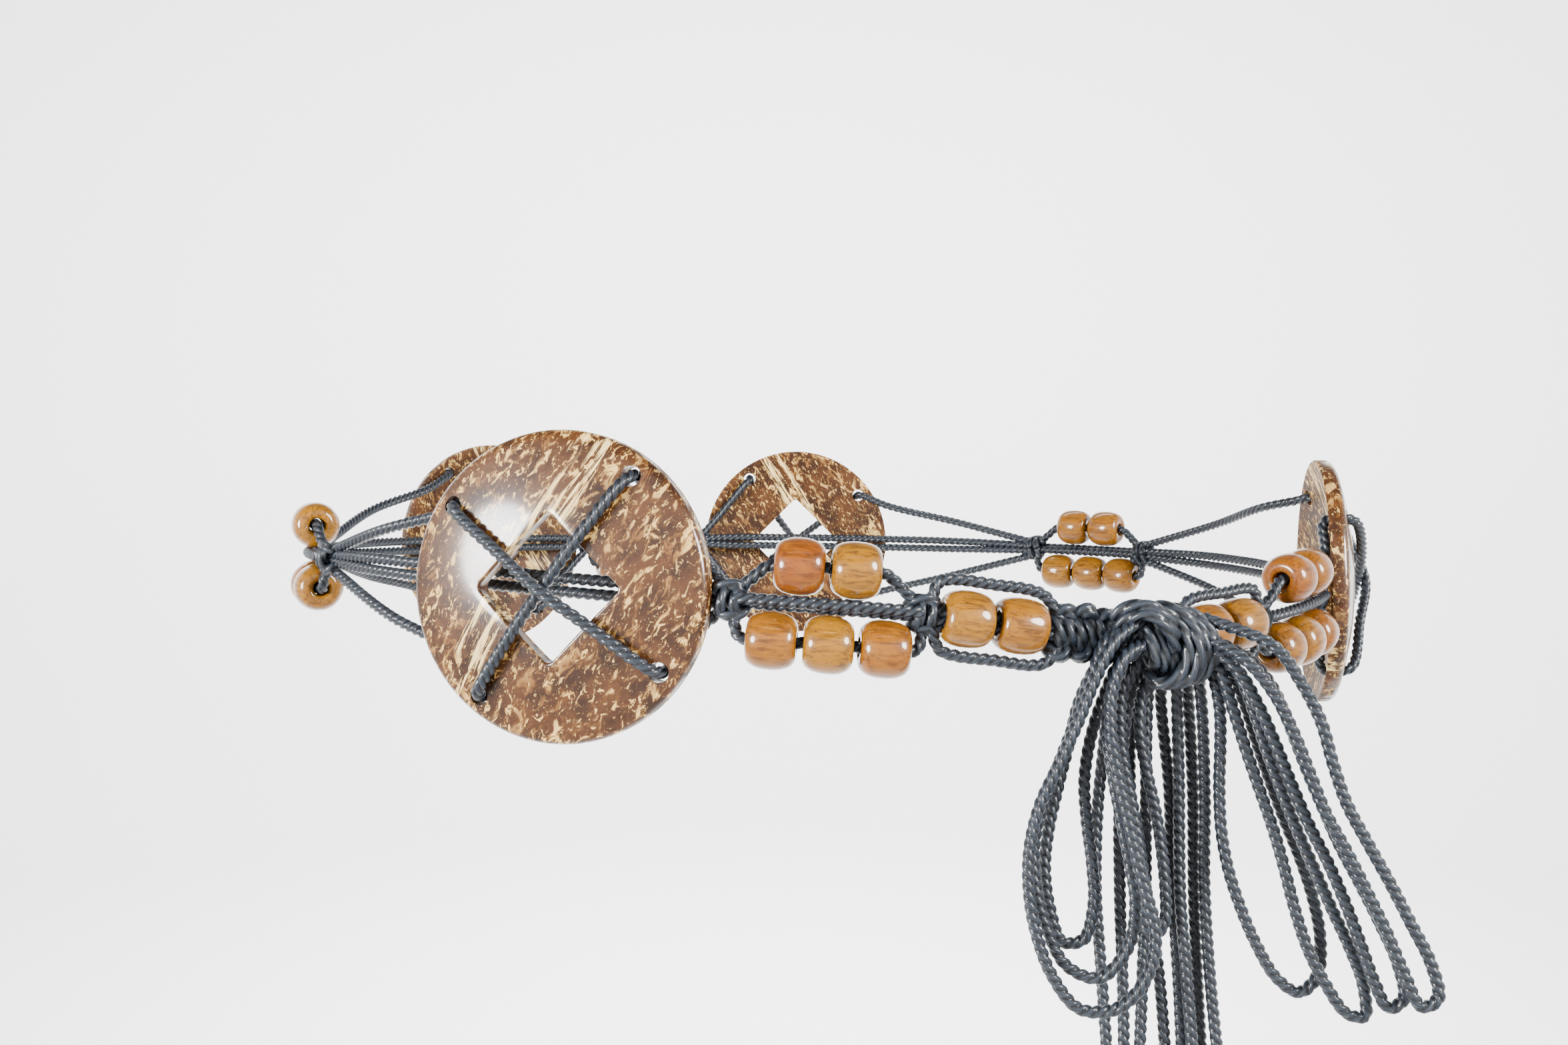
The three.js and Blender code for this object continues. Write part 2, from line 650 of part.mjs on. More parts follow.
belt.add(cordStretch(
  "back_group_cords", groupCords(backGroup), backGroup - groupReach, backGroup + groupReach,
));
belt.add(cordStretch(
  "back_disc_cords", cordsOf("back"), rightGroup + groupReach, backGroup - groupReach,
));
belt.add(cordStretch(
  "right_group_cords", groupCords(rightGroup), rightGroup - groupReach, rightGroup + groupReach,
));
belt.add(cordStretch(
  "side_disc_cords", cordsOf("side"), sideGroup + groupReach, rightGroup - groupReach,
));
const rightEnd = join([
  ...braid(BOW_ALONG + CLEARANCE / 2 + BRAID_LUMP_LENGTH / 2, BRAID_LUMPS_RIGHT),
  ...pairCords(sidePair, toBraid, toKnot).map(solid),
  knot(sideGroup - groupReach),
  ...groupCords(sideGroup).map(solid),
]).subtract(knot(sideGroup + groupReach, CLEARANCE));
belt.add(meshOf("right_end_cords", geometryOf(rightEnd), cordMaterial));
belt.add(meshOf("bow_knot", geometryOf(bowKnot()), cordMaterial));

const groups = { front: frontGroup, side: sideGroup, right: rightGroup, back: backGroup, left: leftGroup };
for (const [name, centre] of Object.entries(groups)) {
  belt.add(...beadGroup(name, centre));
}
belt.add(...beadPair("front_pair", frontPair), ...beadPair("side_pair", sidePair));
for (const disc of DISCS) {
  belt.add(meshOf(`${disc.name}_disc`, geometryOf(discSolid()), discMaterial, discFrame(disc)));
}
for (const loop of LOOPS) {
  belt.add(freeCord(loop, true));
}
for (const tail of TAILS) {
  belt.add(freeCord(tail, false));
}

export default belt;
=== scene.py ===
"""Rope belt: coconut discs and wooden beads on waxed cords, knotted and tied in front in a bow."""

import bisect
import random
from math import atan2, copysign, cos, hypot, pi, radians, sin, sqrt

import bmesh
import bpy
from bpy.props import FloatProperty, FloatVectorProperty, PointerProperty
from bpy.types import Operator, Panel, PropertyGroup
from mathutils import Matrix, Vector, noise


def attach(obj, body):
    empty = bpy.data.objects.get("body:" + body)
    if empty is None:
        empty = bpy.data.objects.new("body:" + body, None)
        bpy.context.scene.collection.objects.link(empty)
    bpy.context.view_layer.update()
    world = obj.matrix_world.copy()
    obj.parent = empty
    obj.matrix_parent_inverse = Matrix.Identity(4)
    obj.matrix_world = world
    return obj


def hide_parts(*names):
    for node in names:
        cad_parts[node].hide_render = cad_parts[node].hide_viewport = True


bl_info = {
    "name": "Rope Belt",
    "version": (1, 0, 0),
    "blender": (4, 5, 0),
    "location": "3D View > Sidebar > Rope Belt",
    "description": "Dresses a rope belt: twisted waxed cords, wooden beads and coconut discs",
    "category": "Mesh",
}

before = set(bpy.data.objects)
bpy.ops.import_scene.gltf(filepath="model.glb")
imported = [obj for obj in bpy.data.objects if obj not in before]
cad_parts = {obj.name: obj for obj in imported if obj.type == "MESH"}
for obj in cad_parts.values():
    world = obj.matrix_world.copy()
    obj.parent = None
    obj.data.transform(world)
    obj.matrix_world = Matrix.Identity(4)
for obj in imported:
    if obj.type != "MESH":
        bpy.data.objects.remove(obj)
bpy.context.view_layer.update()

MM = 0.001
BODY = "root"

# Places and sizes in millimetres, the same as those of the solids
WAIST_WIDTH = 220
WAIST_DEPTH = 170
BELT_HIGH = 6.4
BELT_SAG = 15
CORD_SEAT = 5
CLEARANCE = 0.3
CORD_DIAMETER = 2.3
KNOT_LENGTH = 4.6
KNOT_HEIGHT = 7
KNOT_DEPTH = 6
BRAID_LUMP_LENGTH = 6.4
BRAID_LUMP_HEIGHT = 9.6
BRAID_PITCH = 4.2
BRAID_LUMPS_LEFT = 4
BRAID_LUMPS_RIGHT = 2
BEAD_DIAMETER = 10.2
BEAD_LENGTH = 9.1
BEAD_GAP = 0.5
BEAD_SEAT = 6
DISC_DIAMETER = 55.4
DISC_THICKNESS = 3.5
DISC_DOME_RADIUS = 85
DISC_WINDOW = 19
LACE_INSET = 3.7
LACE_TURN = radians(8.5)
LACE_HOLE_CLEARANCE = 0.65
DISC_SEAT = 8.6
BEHIND_DISC = 2.3
FAN_LENGTH = 71.3
FRONT_DISC_TURN = radians(4.5)
FRONT_DISC_LIFT = 0.8
SIDE_DISC_TURN = radians(-4)
SIDE_DISC_TUCK = 4.5
SIDE_DISC_LIFT = 1.3
BOW_ALONG = 57.4
BOW_DEPTH = 9

CORD_RADIUS = CORD_DIAMETER / 2
BEAD_PITCH = BEAD_LENGTH + BEAD_GAP
ROW_RISE = BEAD_DIAMETER / 2 + CORD_RADIUS + CLEARANCE
GROUP_REACH = 1.5 * BEAD_LENGTH + BEAD_GAP + CLEARANCE + KNOT_LENGTH / 2
PAIR_REACH = BEAD_LENGTH + BEAD_GAP / 2 + CLEARANCE
HALF_KNOT = KNOT_LENGTH / 2
LACE_RADIUS = DISC_DIAMETER / 2 - LACE_INSET
KNOT_ENTRY = KNOT_LENGTH * 0.15
MIDDLE_RISE = 0.42  # of the two middle cords over and under the belt line, beside the beads
PAIR_RISE = 0.75  # of the two cords in the bore of a bead pair
BORE_CLEARANCE = 0.45  # round the cord in a bead's bore

STREAK_SLANT = radians(58)  # of the coconut's fibres, from the horizontal

# Height of the belt line: share of its length from the front, share of the sag
BELT_DROPS = [
    (-0.66, 0.22), (-0.5, 0.02), (-0.34, 0.02), (-0.18, 0.13), (-0.07, 0.39), (0.026, 0.68),
    (0.089, 1.0), (0.14, 0.86), (0.23, 0.52), (0.34, 0.22), (0.5, 0.02), (0.66, 0.02),
]

# Free cords of the bow. Each hangs in a plane of its own at depth y, through points (x, z). The
# first point, and the last one of a loop, lie inside the knot.
KNOT_Y = -85
LOOPS = {
    "left_1": (-90.7, [
        (57, -9), (51.4, -10.2), (48.6, -16.5), (48.3, -23.5), (49.4, -30.5), (51, -37.5),
        (52.6, -44.5), (54.4, -51.5), (56, -58.5), (54.6, -65.5), (49.6, -71), (43, -71.2),
        (38.4, -65.8), (35.6, -58.6), (34.3, -51.2), (34.4, -43.6), (36.2, -36.2), (39.6, -29),
        (42.8, -21.8), (45.8, -14.4), (49.6, -7.6), (57, -4),
    ]),
    "left_2": (-88, [
        (57, -9.5), (51.4, -11.5), (48.9, -18), (48.5, -25.2), (49.4, -32.4), (50.8, -39.6),
        (52.2, -46.8), (53.2, -54), (52, -61.4), (47, -66.8), (41.2, -64.6), (37.8, -58),
        (36, -51), (35.7, -43.8), (37.2, -36.6), (40, -29.6), (42.8, -22.4), (45.4, -15.2),
        (48.8, -7.8), (57, -5),
    ]),
    "left_3": (-85.3, [
        (57, -10), (51.4, -12.5), (48.2, -19), (46, -26), (45, -33.2), (45.4, -40.4),
        (46.3, -47.6), (46.6, -54.8), (44.8, -61), (41.2, -61.4), (39, -55.6), (38.1, -48.6),
        (38.8, -41.4), (40.4, -34.2), (42.2, -27), (44, -19.6), (47, -13.4), (51, -8.8),
        (57, -6.5),
    ]),
    "left_4": (-82.6, [
        (59.5, -11), (56.2, -17.6), (55.4, -24.6), (56.6, -31.8), (58.2, -39), (59.3, -46.2),
        (60, -53.4), (59.8, -58.8), (58, -61), (56.3, -58.8), (56.2, -52.4), (55.4, -45.4),
        (54.2, -38.4), (52.8, -31.4), (52, -24.4), (52.6, -17.4), (57, -9.5),
    ]),
    "right_1": (-82.6, [
        (63.5, -8.5), (67.8, -13.5), (69.5, -20.5), (69.7, -27.6), (69.5, -34.8), (69.8, -42),
        (71, -49), (73.2, -56), (76, -62.6), (79.6, -68.6), (83.6, -71.2), (86.8, -68.4),
        (87.4, -62), (86.2, -55), (84, -48), (81.2, -41), (78.6, -34), (76.2, -27), (74, -20),
        (71.2, -13.4), (65, -6.5),
    ]),
    "right_2": (-85.3, [
        (64, -9), (68.6, -13.8), (71, -20.6), (73.2, -27.6), (75.6, -34.6), (78, -41.6),
        (80, -48.6), (81.8, -55.6), (84, -62.4), (87.2, -68.8), (91, -74), (94, -74.4),
        (93.8, -69), (91.4, -62.4), (88.4, -55.8), (85.4, -49), (82.4, -42.2), (79.6, -35.2),
        (77, -28.2), (74.8, -21.4), (72, -14.6), (65.5, -7),
    ]),
    "right_3": (-88, [
        (64.5, -8.5), (70.6, -13.2), (74.4, -19.4), (77.4, -26.2), (80.2, -33.2), (83.2, -40.2),
        (86.6, -47), (89.6, -54), (92.2, -61), (94.6, -67.6), (97, -72), (99.6, -70.4),
        (98.6, -64.4), (95.6, -57.6), (92.2, -50.8), (88.6, -44), (85.4, -36.8), (82.4, -29.6),
        (79.6, -22.4), (76.6, -16), (73, -11.8), (65.5, -7.5),
    ]),
    "right_4": (-90.7, [
        (64.5, -7.5), (71.4, -11.6), (76, -17), (79.4, -23.6), (82.2, -30.6), (85, -37.6),
        (88.6, -44.2), (92, -51), (95.4, -58), (98.4, -65), (101.4, -70.8), (104.2, -69.4),
        (103, -63.4), (99.6, -56.6), (96, -49.6), (92.2, -42.8), (88.6, -36), (86.2, -29),
        (84.2, -22), (80.6, -15), (76.2, -9.2), (65.5, -4.5),
    ]),
}
TAILS = {
    "1": (-79.8, [(57, -11), (52, -17.6), (49.2, -33), (48.3, -52), (49.4, -70), (50.8, -90)]),
    "2": (-79.8, [(57, -11), (54.8, -17.6), (52.7, -35), (52.6, -54), (53.2, -73), (53.4, -92)]),
    "3": (-79.8, [(58, -11), (57.8, -17.6), (57.3, -36), (57.2, -54), (56.6, -71), (56, -88)]),
    "4": (-77.1, [(58, -11), (56.2, -17.6), (55.2, -36), (57.8, -53), (60.4, -70), (62, -91)]),
    "5": (-79.8, [(61, -11), (62.8, -17.6), (63.2, -36), (63.4, -54), (64.7, -71), (66.2, -89)]),
    "6": (-77.1, [(63, -11), (65.6, -17.6), (66.5, -36), (66.7, -55), (67.4, -72), (68.6, -93)]),
    "7": (-79.8, [(64, -11), (67, -17.6), (67.8, -35), (67.8, -54), (69, -72), (70.4, -86)]),
    "8": (-77.1, [(61, -11), (60.8, -17.6), (62.2, -36), (62.9, -55), (64, -73), (65, -94)]),
}


# ---- Settings ----


def length_setting(name, description, millimetres, least):
    return FloatProperty(
        name=name, description=description, default=millimetres * MM, min=least * MM,
        unit="LENGTH", precision=4,
    )


def colour_setting(name, description, colour):
    return FloatVectorProperty(
        name=name, description=description, default=colour, subtype="COLOR", size=3, min=0, max=1,
    )


def number_setting(name, description, default, least):
    return FloatProperty(name=name, description=description, default=default, min=least)


class CordSettings(PropertyGroup):
    diameter: length_setting("Diameter", "Diameter of each cord", CORD_DIAMETER, 0.5)
    ply_turn: length_setting(
        "Ply turn", "Length in which the three plies make one full turn", 5.4, 1,
    )
    # Painted shade: the colour that the plies go over to in the grooves between them.
    dark: colour_setting("Groove colour", "Colour between the plies", (0.0012, 0.0017, 0.0026))
    colour: colour_setting("Cord colour", "Colour of the waxed plies", (0.0064, 0.01, 0.0162))
    # Also laid over the ply crests as a painted highlight, besides the waxed patches.
    wax: colour_setting("Wax colour", "Colour where the wax is thick", (0.045, 0.061, 0.085))


class BeadSettings(PropertyGroup):
    diameter: length_setting("Diameter", "Diameter of each bead", BEAD_DIAMETER, 2)
    length: length_setting("Length", "Length of each bead along its bore", BEAD_LENGTH, 2)
    honey: colour_setting("Honey", "Colour of the palest beads", (0.24, 0.098, 0.002))
    amber: colour_setting("Amber", "Colour of the reddest beads", (0.18, 0.042, 0.001))
    grain: colour_setting("Grain", "Colour of the grain and the gouges", (0.045, 0.013, 0.0015))


class DiscSettings(PropertyGroup):
    diameter: length_setting("Diameter", "Diameter of each disc", DISC_DIAMETER, 20)
    thickness: length_setting("Thickness", "Thickness of each disc", DISC_THICKNESS, 1)
    window: length_setting("Window", "Side of the square window", DISC_WINDOW, 2)
    ground: colour_setting("Ground", "Dark brown of the discs", (0.021, 0.0066, 0.0018))
    husk: colour_setting("Husk", "Lighter brown of the discs", (0.062, 0.021, 0.005))
    halo: colour_setting("Halo", "Brown around the flecks", (0.18, 0.075, 0.015))
    fleck: colour_setting("Fleck", "Colour of the flecks", (0.66, 0.42, 0.135))
    streak: colour_setting("Streak", "Colour of the long fibre streaks", (0.74, 0.52, 0.22))


class StageSettings(PropertyGroup):
    floor: colour_setting("Floor", "Colour of the floor and backdrop", (0.9, 0.9, 0.9))
    lamp_power: number_setting("Lamp power", "Power of each soft side lamp in watts", 5.5, 0)
    fill_power: number_setting(
        "Fill power", "Power of the large lamp over the backdrop in watts", 225, 0,
    )
    lens: number_setting("Lens", "Focal length of the camera in millimetres", 30.1, 1)


class BeltSettings(PropertyGroup):
    cord: PointerProperty(type=CordSettings)
    bead: PointerProperty(type=BeadSettings)
    disc: PointerProperty(type=DiscSettings)
    stage: PointerProperty(type=StageSettings)


def settings():
    return bpy.context.scene.rope_belt


# ---- The belt line ----


def walk(points):
    """The length walked along a line from its first point to each point."""
    walked = [0.0]
    for before, after in zip(points, points[1:]):
        walked.append(walked[-1] + (after - before).length)
    return walked


def step_at(walked, place):
    """The step of a walked line that a place lies in, and the place's share of that step."""
    i = min(max(bisect.bisect_right(walked, place), 1), len(walked) - 1)
    return i, (place - walked[i - 1]) / max(walked[i] - walked[i - 1], 1e-9)


HALF_WIDTH = WAIST_WIDTH / 2 + CORD_SEAT
HALF_DEPTH = WAIST_DEPTH / 2 + CORD_SEAT
OVAL_STEPS = 4000
TURNS = [2 * pi * i / OVAL_STEPS - pi / 2 for i in range(OVAL_STEPS + 1)]
WALKED = walk([Vector((HALF_WIDTH * cos(t), HALF_DEPTH * sin(t))) for t in TURNS])
BELT_LENGTH = WALKED[-1]


def ease(p, start, leave, arrive, stop):
    """A smooth curve from start to stop, with the slopes it leaves and arrives with."""
    return (
        start * (2 * p**3 - 3 * p**2 + 1) + leave * (p**3 - 2 * p**2 + p)
        + stop * (3 * p**2 - 2 * p**3) + arrive * (p**3 - p**2)
    )


def belt_height(along):
    """Height of the belt line, on a smooth curve through the rows of BELT_DROPS."""
    share = along / BELT_LENGTH
    share -= round(share)
    i = max(k for k, (at, _) in enumerate(BELT_DROPS) if at <= share)
    (t_before, before), (t0, low), (t1, high), (t_after, after) = BELT_DROPS[i - 1:i + 3]
    step = t1 - t0
    rise = (high - low) / 2
    leave = rise + (low - before) * step / (t0 - t_before) / 2
    arrive = rise + (after - high) * step / (t_after - t1) / 2
    return BELT_HIGH - BELT_SAG * ease((share - t0) / step, low, leave, arrive, high)


def belt_frame(along):
    """A frame on the belt line: X along the belt, Y up, Z away from the waist."""
    i, share = step_at(WALKED, along % BELT_LENGTH)
    turn = TURNS[i - 1] + share * (TURNS[i] - TURNS[i - 1])
    forward = Vector((-HALF_WIDTH * sin(turn), HALF_DEPTH * cos(turn), 0)).normalized()
    up = Vector((0, 0, 1))
    out = forward.cross(up)
    spot = Vector((
        HALF_WIDTH * cos(turn), HALF_DEPTH * sin(turn), belt_height(along),
    ))
    return Matrix.Translation(spot) @ Matrix((forward, up, out)).transposed().to_4x4()


def belt_point(along, rise, out):
    """A point by its place along the belt, height over the line and distance from the waist."""
    return belt_frame(along) @ Vector((0, rise, out - CORD_SEAT))


# ---- Places, walked outwards from the bow ----


def braid_reach(lumps):
    return CLEARANCE / 2 + BRAID_LUMP_LENGTH + (lumps - 1) * BRAID_PITCH


NEAR_REACH = DISC_DIAMETER / 2 + CLEARANCE + HALF_KNOT
FRONT_PAIR = BOW_ALONG - braid_reach(BRAID_LUMPS_LEFT) - PAIR_REACH
FRONT_GROUP = FRONT_PAIR - PAIR_REACH - HALF_KNOT - GROUP_REACH
FRONT_DISC = FRONT_GROUP - GROUP_REACH - NEAR_REACH
LEFT_GROUP = FRONT_DISC - FAN_LENGTH - GROUP_REACH
SIDE_PAIR = BOW_ALONG + braid_reach(BRAID_LUMPS_RIGHT) + PAIR_REACH
SIDE_GROUP = SIDE_PAIR + PAIR_REACH + HALF_KNOT + GROUP_REACH
SIDE_DISC = SIDE_GROUP + GROUP_REACH + NEAR_REACH - SIDE_DISC_TUCK
RIGHT_GROUP = SIDE_DISC + FAN_LENGTH + GROUP_REACH
BACK_GROUP = (RIGHT_GROUP + LEFT_GROUP + BELT_LENGTH) / 2
BACK_DISC = BACK_GROUP - GROUP_REACH - NEAR_REACH
LEFT_DISC = BACK_GROUP + GROUP_REACH + NEAR_REACH

GROUPS = {
    "front": FRONT_GROUP, "side": SIDE_GROUP, "right": RIGHT_GROUP, "back": BACK_GROUP,
    "left": LEFT_GROUP,
}

# Disc: place, turn, lift, the knot beside it and the knot that its cords fan out from
DISCS = {
    "front": (
        FRONT_DISC, FRONT_DISC_TURN, FRONT_DISC_LIFT,
        FRONT_GROUP - GROUP_REACH, LEFT_GROUP + GROUP_REACH,
    ),
    "side": (
        SIDE_DISC, SIDE_DISC_TURN, SIDE_DISC_LIFT,
        SIDE_GROUP + GROUP_REACH, RIGHT_GROUP - GROUP_REACH,
    ),
    "back": (BACK_DISC, 0, 0, BACK_GROUP - GROUP_REACH, RIGHT_GROUP + GROUP_REACH),
    "left": (
        LEFT_DISC, 0, 0, BACK_GROUP + GROUP_REACH, LEFT_GROUP + BELT_LENGTH - GROUP_REACH,
    ),
}


def dome(radius):
    """Height of a disc's inner face at a distance from its middle, 0 in the middle."""
    return sqrt(DISC_DOME_RADIUS**2 - radius**2) - DISC_DOME_RADIUS


def disc_frame(along, turn, lift):
    return (
        belt_frame(along)
        @ Matrix.Translation((0, 0, DISC_SEAT + lift - CORD_SEAT))
        @ Matrix.Rotation(turn, 4, "Y")
    )


def lace_hole(way, level):
    """Middle of a lacing hole. way: +1 or -1 along the belt. level: +1 above, -1 below."""
    angle = atan2(level, way) + LACE_TURN
    return Vector((LACE_RADIUS * cos(angle), LACE_RADIUS * sin(angle)))


# ---- Routes of the belt's four cords ----


def group_routes(centre):
    """Cords of a bead group. Stations: share of the reach, share of the row's rise."""
    reach = GROUP_REACH - KNOT_ENTRY
    upper = [(1, 0.15), (0.8, 0.6), (0.6, 0.98), (0.3, 1)]
    lower = [(1, 0.25), (0.985, 0.72), (0.945, 0.95), (0.89, 1), (0.3, 1)]

    def row(stations, sign):
        across = [(-at, rise) for at, rise in stations] + stations[::-1]
        return [
            belt_point(
                centre + at * reach, sign * rise * ROW_RISE,
                CORD_SEAT if abs(at) == 1 else BEAD_SEAT,
            )
            for at, rise in across
        ]

    def middle(side):
        return [
            belt_point(centre + at * reach, MIDDLE_RISE * side, BEAD_SEAT + side * CORD_RADIUS)
            for at in (-1, -0.5, 0, 0.5, 1)
        ]

    return [row(upper, 1), row(lower, -1), middle(1), middle(-1)]


def pair_routes(centre, before, after):
    """Cords of a bead pair. Stations: place, share of the outer cord's rise."""

    def across(rise):
        stations = [
            (-before, 0.25), (-PAIR_REACH, 0.88), (-PAIR_REACH * 0.72, 1), (0, 1),
            (PAIR_REACH * 0.72, 1), (PAIR_REACH, 0.88), (after, 0.25),
        ]
        return [belt_point(centre + at, rise * share, BEAD_SEAT) for at, share in stations]

    def through(side):
        return [
            belt_point(centre + at, side * PAIR_RISE, BEAD_SEAT)
            for at in (-before, -PAIR_REACH / 2, PAIR_REACH / 2, after)
        ]

    return [across(ROW_RISE), across(-ROW_RISE), through(1), through(-1)]


def lace_route(disc, level, lift):
    """From the near knot behind the disc, across its front and behind it again to the far knot."""
    along, turn, disc_lift, near, far = disc
    way = copysign(1, near - along)
    place_of = disc_frame(along, turn, disc_lift)
    start = lace_hole(way, level)
    stop = lace_hole(-way, -level)
    behind = CORD_RADIUS + 2 * CLEARANCE
    face = dome(LACE_RADIUS)

    def place(point, z):
        return place_of @ Vector((point.x, point.y, z))

    def back(point):
        return place(point, dome(point.length) - behind)

    def front(point, over):
        return place(point, dome(point.length) + DISC_THICKNESS + over)

    def through(hole, knot_spot):
        step = (knot_spot - hole).normalized() * CORD_DIAMETER * 0.7
        return [
            back(hole + step),
            place(hole, face - CLEARANCE),
            place(hole, face + DISC_THICKNESS * 0.9),
            front(hole * 0.94, CORD_RADIUS + CLEARANCE),
        ]

    near_spot = Vector((near - along, 0))
    far_spot = Vector((far - along, 0))
    # Share of the way to the far knot, of the hole's height and of the knot's distance out
    fan = [(0.18, 0.79, 0.44), (0.55, 0.5, 0.66), (1, 0.12, 0.92)]
    fan_start = along + stop.x
    fan_end = far + way * KNOT_ENTRY
    return [
        belt_point(near - way * KNOT_ENTRY, level * KNOT_HEIGHT * 0.2, CORD_SEAT * 0.8),
        back(start.lerp(near_spot, 0.5)),
        *through(start, near_spot),
        front(start * 0.45, CORD_RADIUS + CLEARANCE * 2),
        front(Vector((0, 0)), CORD_RADIUS + CLEARANCE + lift),
        front(stop * 0.45, CORD_RADIUS + CLEARANCE * 2),
        *through(stop, far_spot)[::-1],
        *(
            belt_point(fan_start + (fan_end - fan_start) * at, stop.y * rise, CORD_SEAT * out)
            for at, rise, out in fan
        ),
    ]


def disc_routes(name):
    """Cords of a disc. Stations of the middle pair: place, distance out, spread."""
    disc = DISCS[name]
    along, _, _, near, far = disc
    way = copysign(1, near - along)
    stations = [
        (near - way * KNOT_ENTRY, CORD_SEAT * 0.7, 0.6),
        (near + (along - near) * 0.3, BEHIND_DISC, 1),
        (along, BEHIND_DISC, 1.08),
        (along + (far - along) * 0.35, BEHIND_DISC, 1.1),
        (along + (far - along) * 0.7, BEHIND_DISC + 1, 1),
        (far + way * KNOT_ENTRY, CORD_SEAT * 0.9, 0.6),
    ]
    middle = [
        [belt_point(at, side * spread * CORD_RADIUS, out) for at, out, spread in stations]
        for side in (1, -1)
    ]
    return [lace_route(disc, 1, 0), lace_route(disc, -1, CORD_RADIUS * 1.6), *middle]


# ---- Twisted cords ----


CURVE_STEPS = 16  # between two given points, before the line is spaced evenly


def smooth_line(points):
    """Evenly spaced points, RING_STEP apart, on the smooth curve through the given points."""
    ends = [2 * points[0] - points[1], *points, 2 * points[-1] - points[-2]]
    dense = [points[0].copy()]
    for i in range(1, len(ends) - 2):
        a, b, c, d = ends[i - 1:i + 3]
        gap0, gap1, gap2 = (
            max((after - before).length_squared**0.25, 1e-4)
            for before, after in ((a, b), (b, c), (c, d))
        )
        leave = ((b - a) / gap0 - (c - a) / (gap0 + gap1) + (c - b) / gap1) * gap1
        arrive = ((c - b) / gap1 - (d - b) / (gap1 + gap2) + (d - c) / gap2) * gap1
        for k in range(1, CURVE_STEPS + 1):
            dense.append(ease(k / CURVE_STEPS, b, leave, arrive, c))
    walked = walk(dense)
    count = max(2, round(walked[-1] / RING_STEP))
    line = []
    for k in range(count + 1):
        i, share = step_at(walked, walked[-1] * k / count)
        line.append(dense[i - 1].lerp(dense[i], share))
    return line


def line_frames(line):
    """Frames carried along the line without turning about it."""
    ahead = (line[1] - line[0]).normalized()
    side = ahead.orthogonal().normalized()
    frames = []
    for i, spot in enumerate(line):
        now = (line[min(i + 1, len(line) - 1)] - line[max(i - 1, 0)]).normalized()
        side = ahead.rotation_difference(now) @ side
        ahead = now
        frames.append((spot, side.normalized(), ahead.cross(side).normalized()))
    return frames


PLIES = 3
PLY_SIDES = 5
PLY_CENTRE = 0.42  # distance of a ply's middle from the cord's, as a share of the cord's radius
RING_STEP = 0.62  # between two rings of a cord, in millimetres
TIP_SHARE = 0.55  # width of a cord's bare tip
KNOT_SLACK = 2.4  # how much longer a turn of the plies is in a knot than along the belt


def ply_outline(around):
    """Distance from the middle of a cord to its outline, as a share of its radius."""
    lobe = (around * PLIES % 1 - 0.5) * 2 * pi / PLIES
    across = PLY_CENTRE * sin(lobe)
    return PLY_CENTRE * cos(lobe) + sqrt((1 - PLY_CENTRE) ** 2 - across**2)


class CordMaker:
    """Adds cords to one mesh, each with a twist that starts at another angle."""

    def __init__(self, seed):
        self.bm = bmesh.new()
        self.bm.loops.layers.uv.verify()
        self.random = random.Random(seed)
        cord = settings().cord
        self.radius = cord.diameter / MM / 2
        self.turn = cord.ply_turn / MM

    def cord(self, points, share=1.0, slack=1.0, tips=False):
        """A three-ply cord along the points. Its UV runs round it, and along it in millimetres.

        share: thickness as a share of the cord's own. slack: how far its twist is opened.
        """
        bm = self.bm
        turn = self.turn * slack
        phase = self.random.random()
        line = smooth_line(points)
        frames = line_frames(line)
        last = len(line) - 1
        step = walk(line)[-1] / last
        grid = bmesh.ops.create_grid(
            bm, x_segments=PLIES * PLY_SIDES, y_segments=last, size=0.5, calc_uvs=True,
        )
        for vert in grid["verts"]:
            around = vert.co.x + 0.5
            row = round((vert.co.y + 0.5) * last)
            spot, side, up = frames[row]
            angle = 2 * pi * (around - row * step / turn + phase)
            taper = min(1, TIP_SHARE + (1 - TIP_SHARE) * min(row, last - row)) if tips else 1
            reach = self.radius * share * taper * ply_outline(around)
            vert.co = spot + (side * cos(angle) + up * sin(angle)) * reach
        uv = bm.loops.layers.uv.active
        for face in {face for vert in grid["verts"] for face in vert.link_faces}:
            for loop in face.loops:
                loop[uv].uv.y *= last * step
        bmesh.ops.remove_doubles(bm, verts=grid["verts"], dist=0.002)
        rims = [edge for edge in bm.edges if edge.is_boundary]
        bmesh.ops.holes_fill(bm, edges=rims, sides=0)
        return line

    def wrap(self, matrix, points, share=1.0):
        """A strand of a knot, at its place on the belt. The bends open its twist."""
        self.cord([matrix @ Vector(point) for point in points], share, KNOT_SLACK)


def tilted_ring(x, lean, half_height, half_depth, bow=0.0, lift=0.0, step=30):
    """A wrap round the belt, closed at the back. lean: how far it slants, bow: its bulge."""
    return [
        (
            x - lean * sin(turn) + bow * max(0, cos(turn)),
            lift + half_height * sin(turn),
            half_depth * cos(turn),
        )
        for turn in (radians(degrees) for degrees in range(-180, 181, step))
    ]


def edge_loop(x, length, height, out):
    """The short turn of a cord at the upper or lower edge of a knot."""
    half = length / 2
    return [
        (x - half * 1.1, height * 0.55, out - 1.9), (x - half * 0.85, height * 0.9, out - 0.5),
        (x - half * 0.3, height, out), (x + half * 0.35, height * 0.98, out),
        (x + half * 0.85, height * 0.82, out - 0.3), (x + half * 1.05, height * 0.5, out - 1.6),
    ]


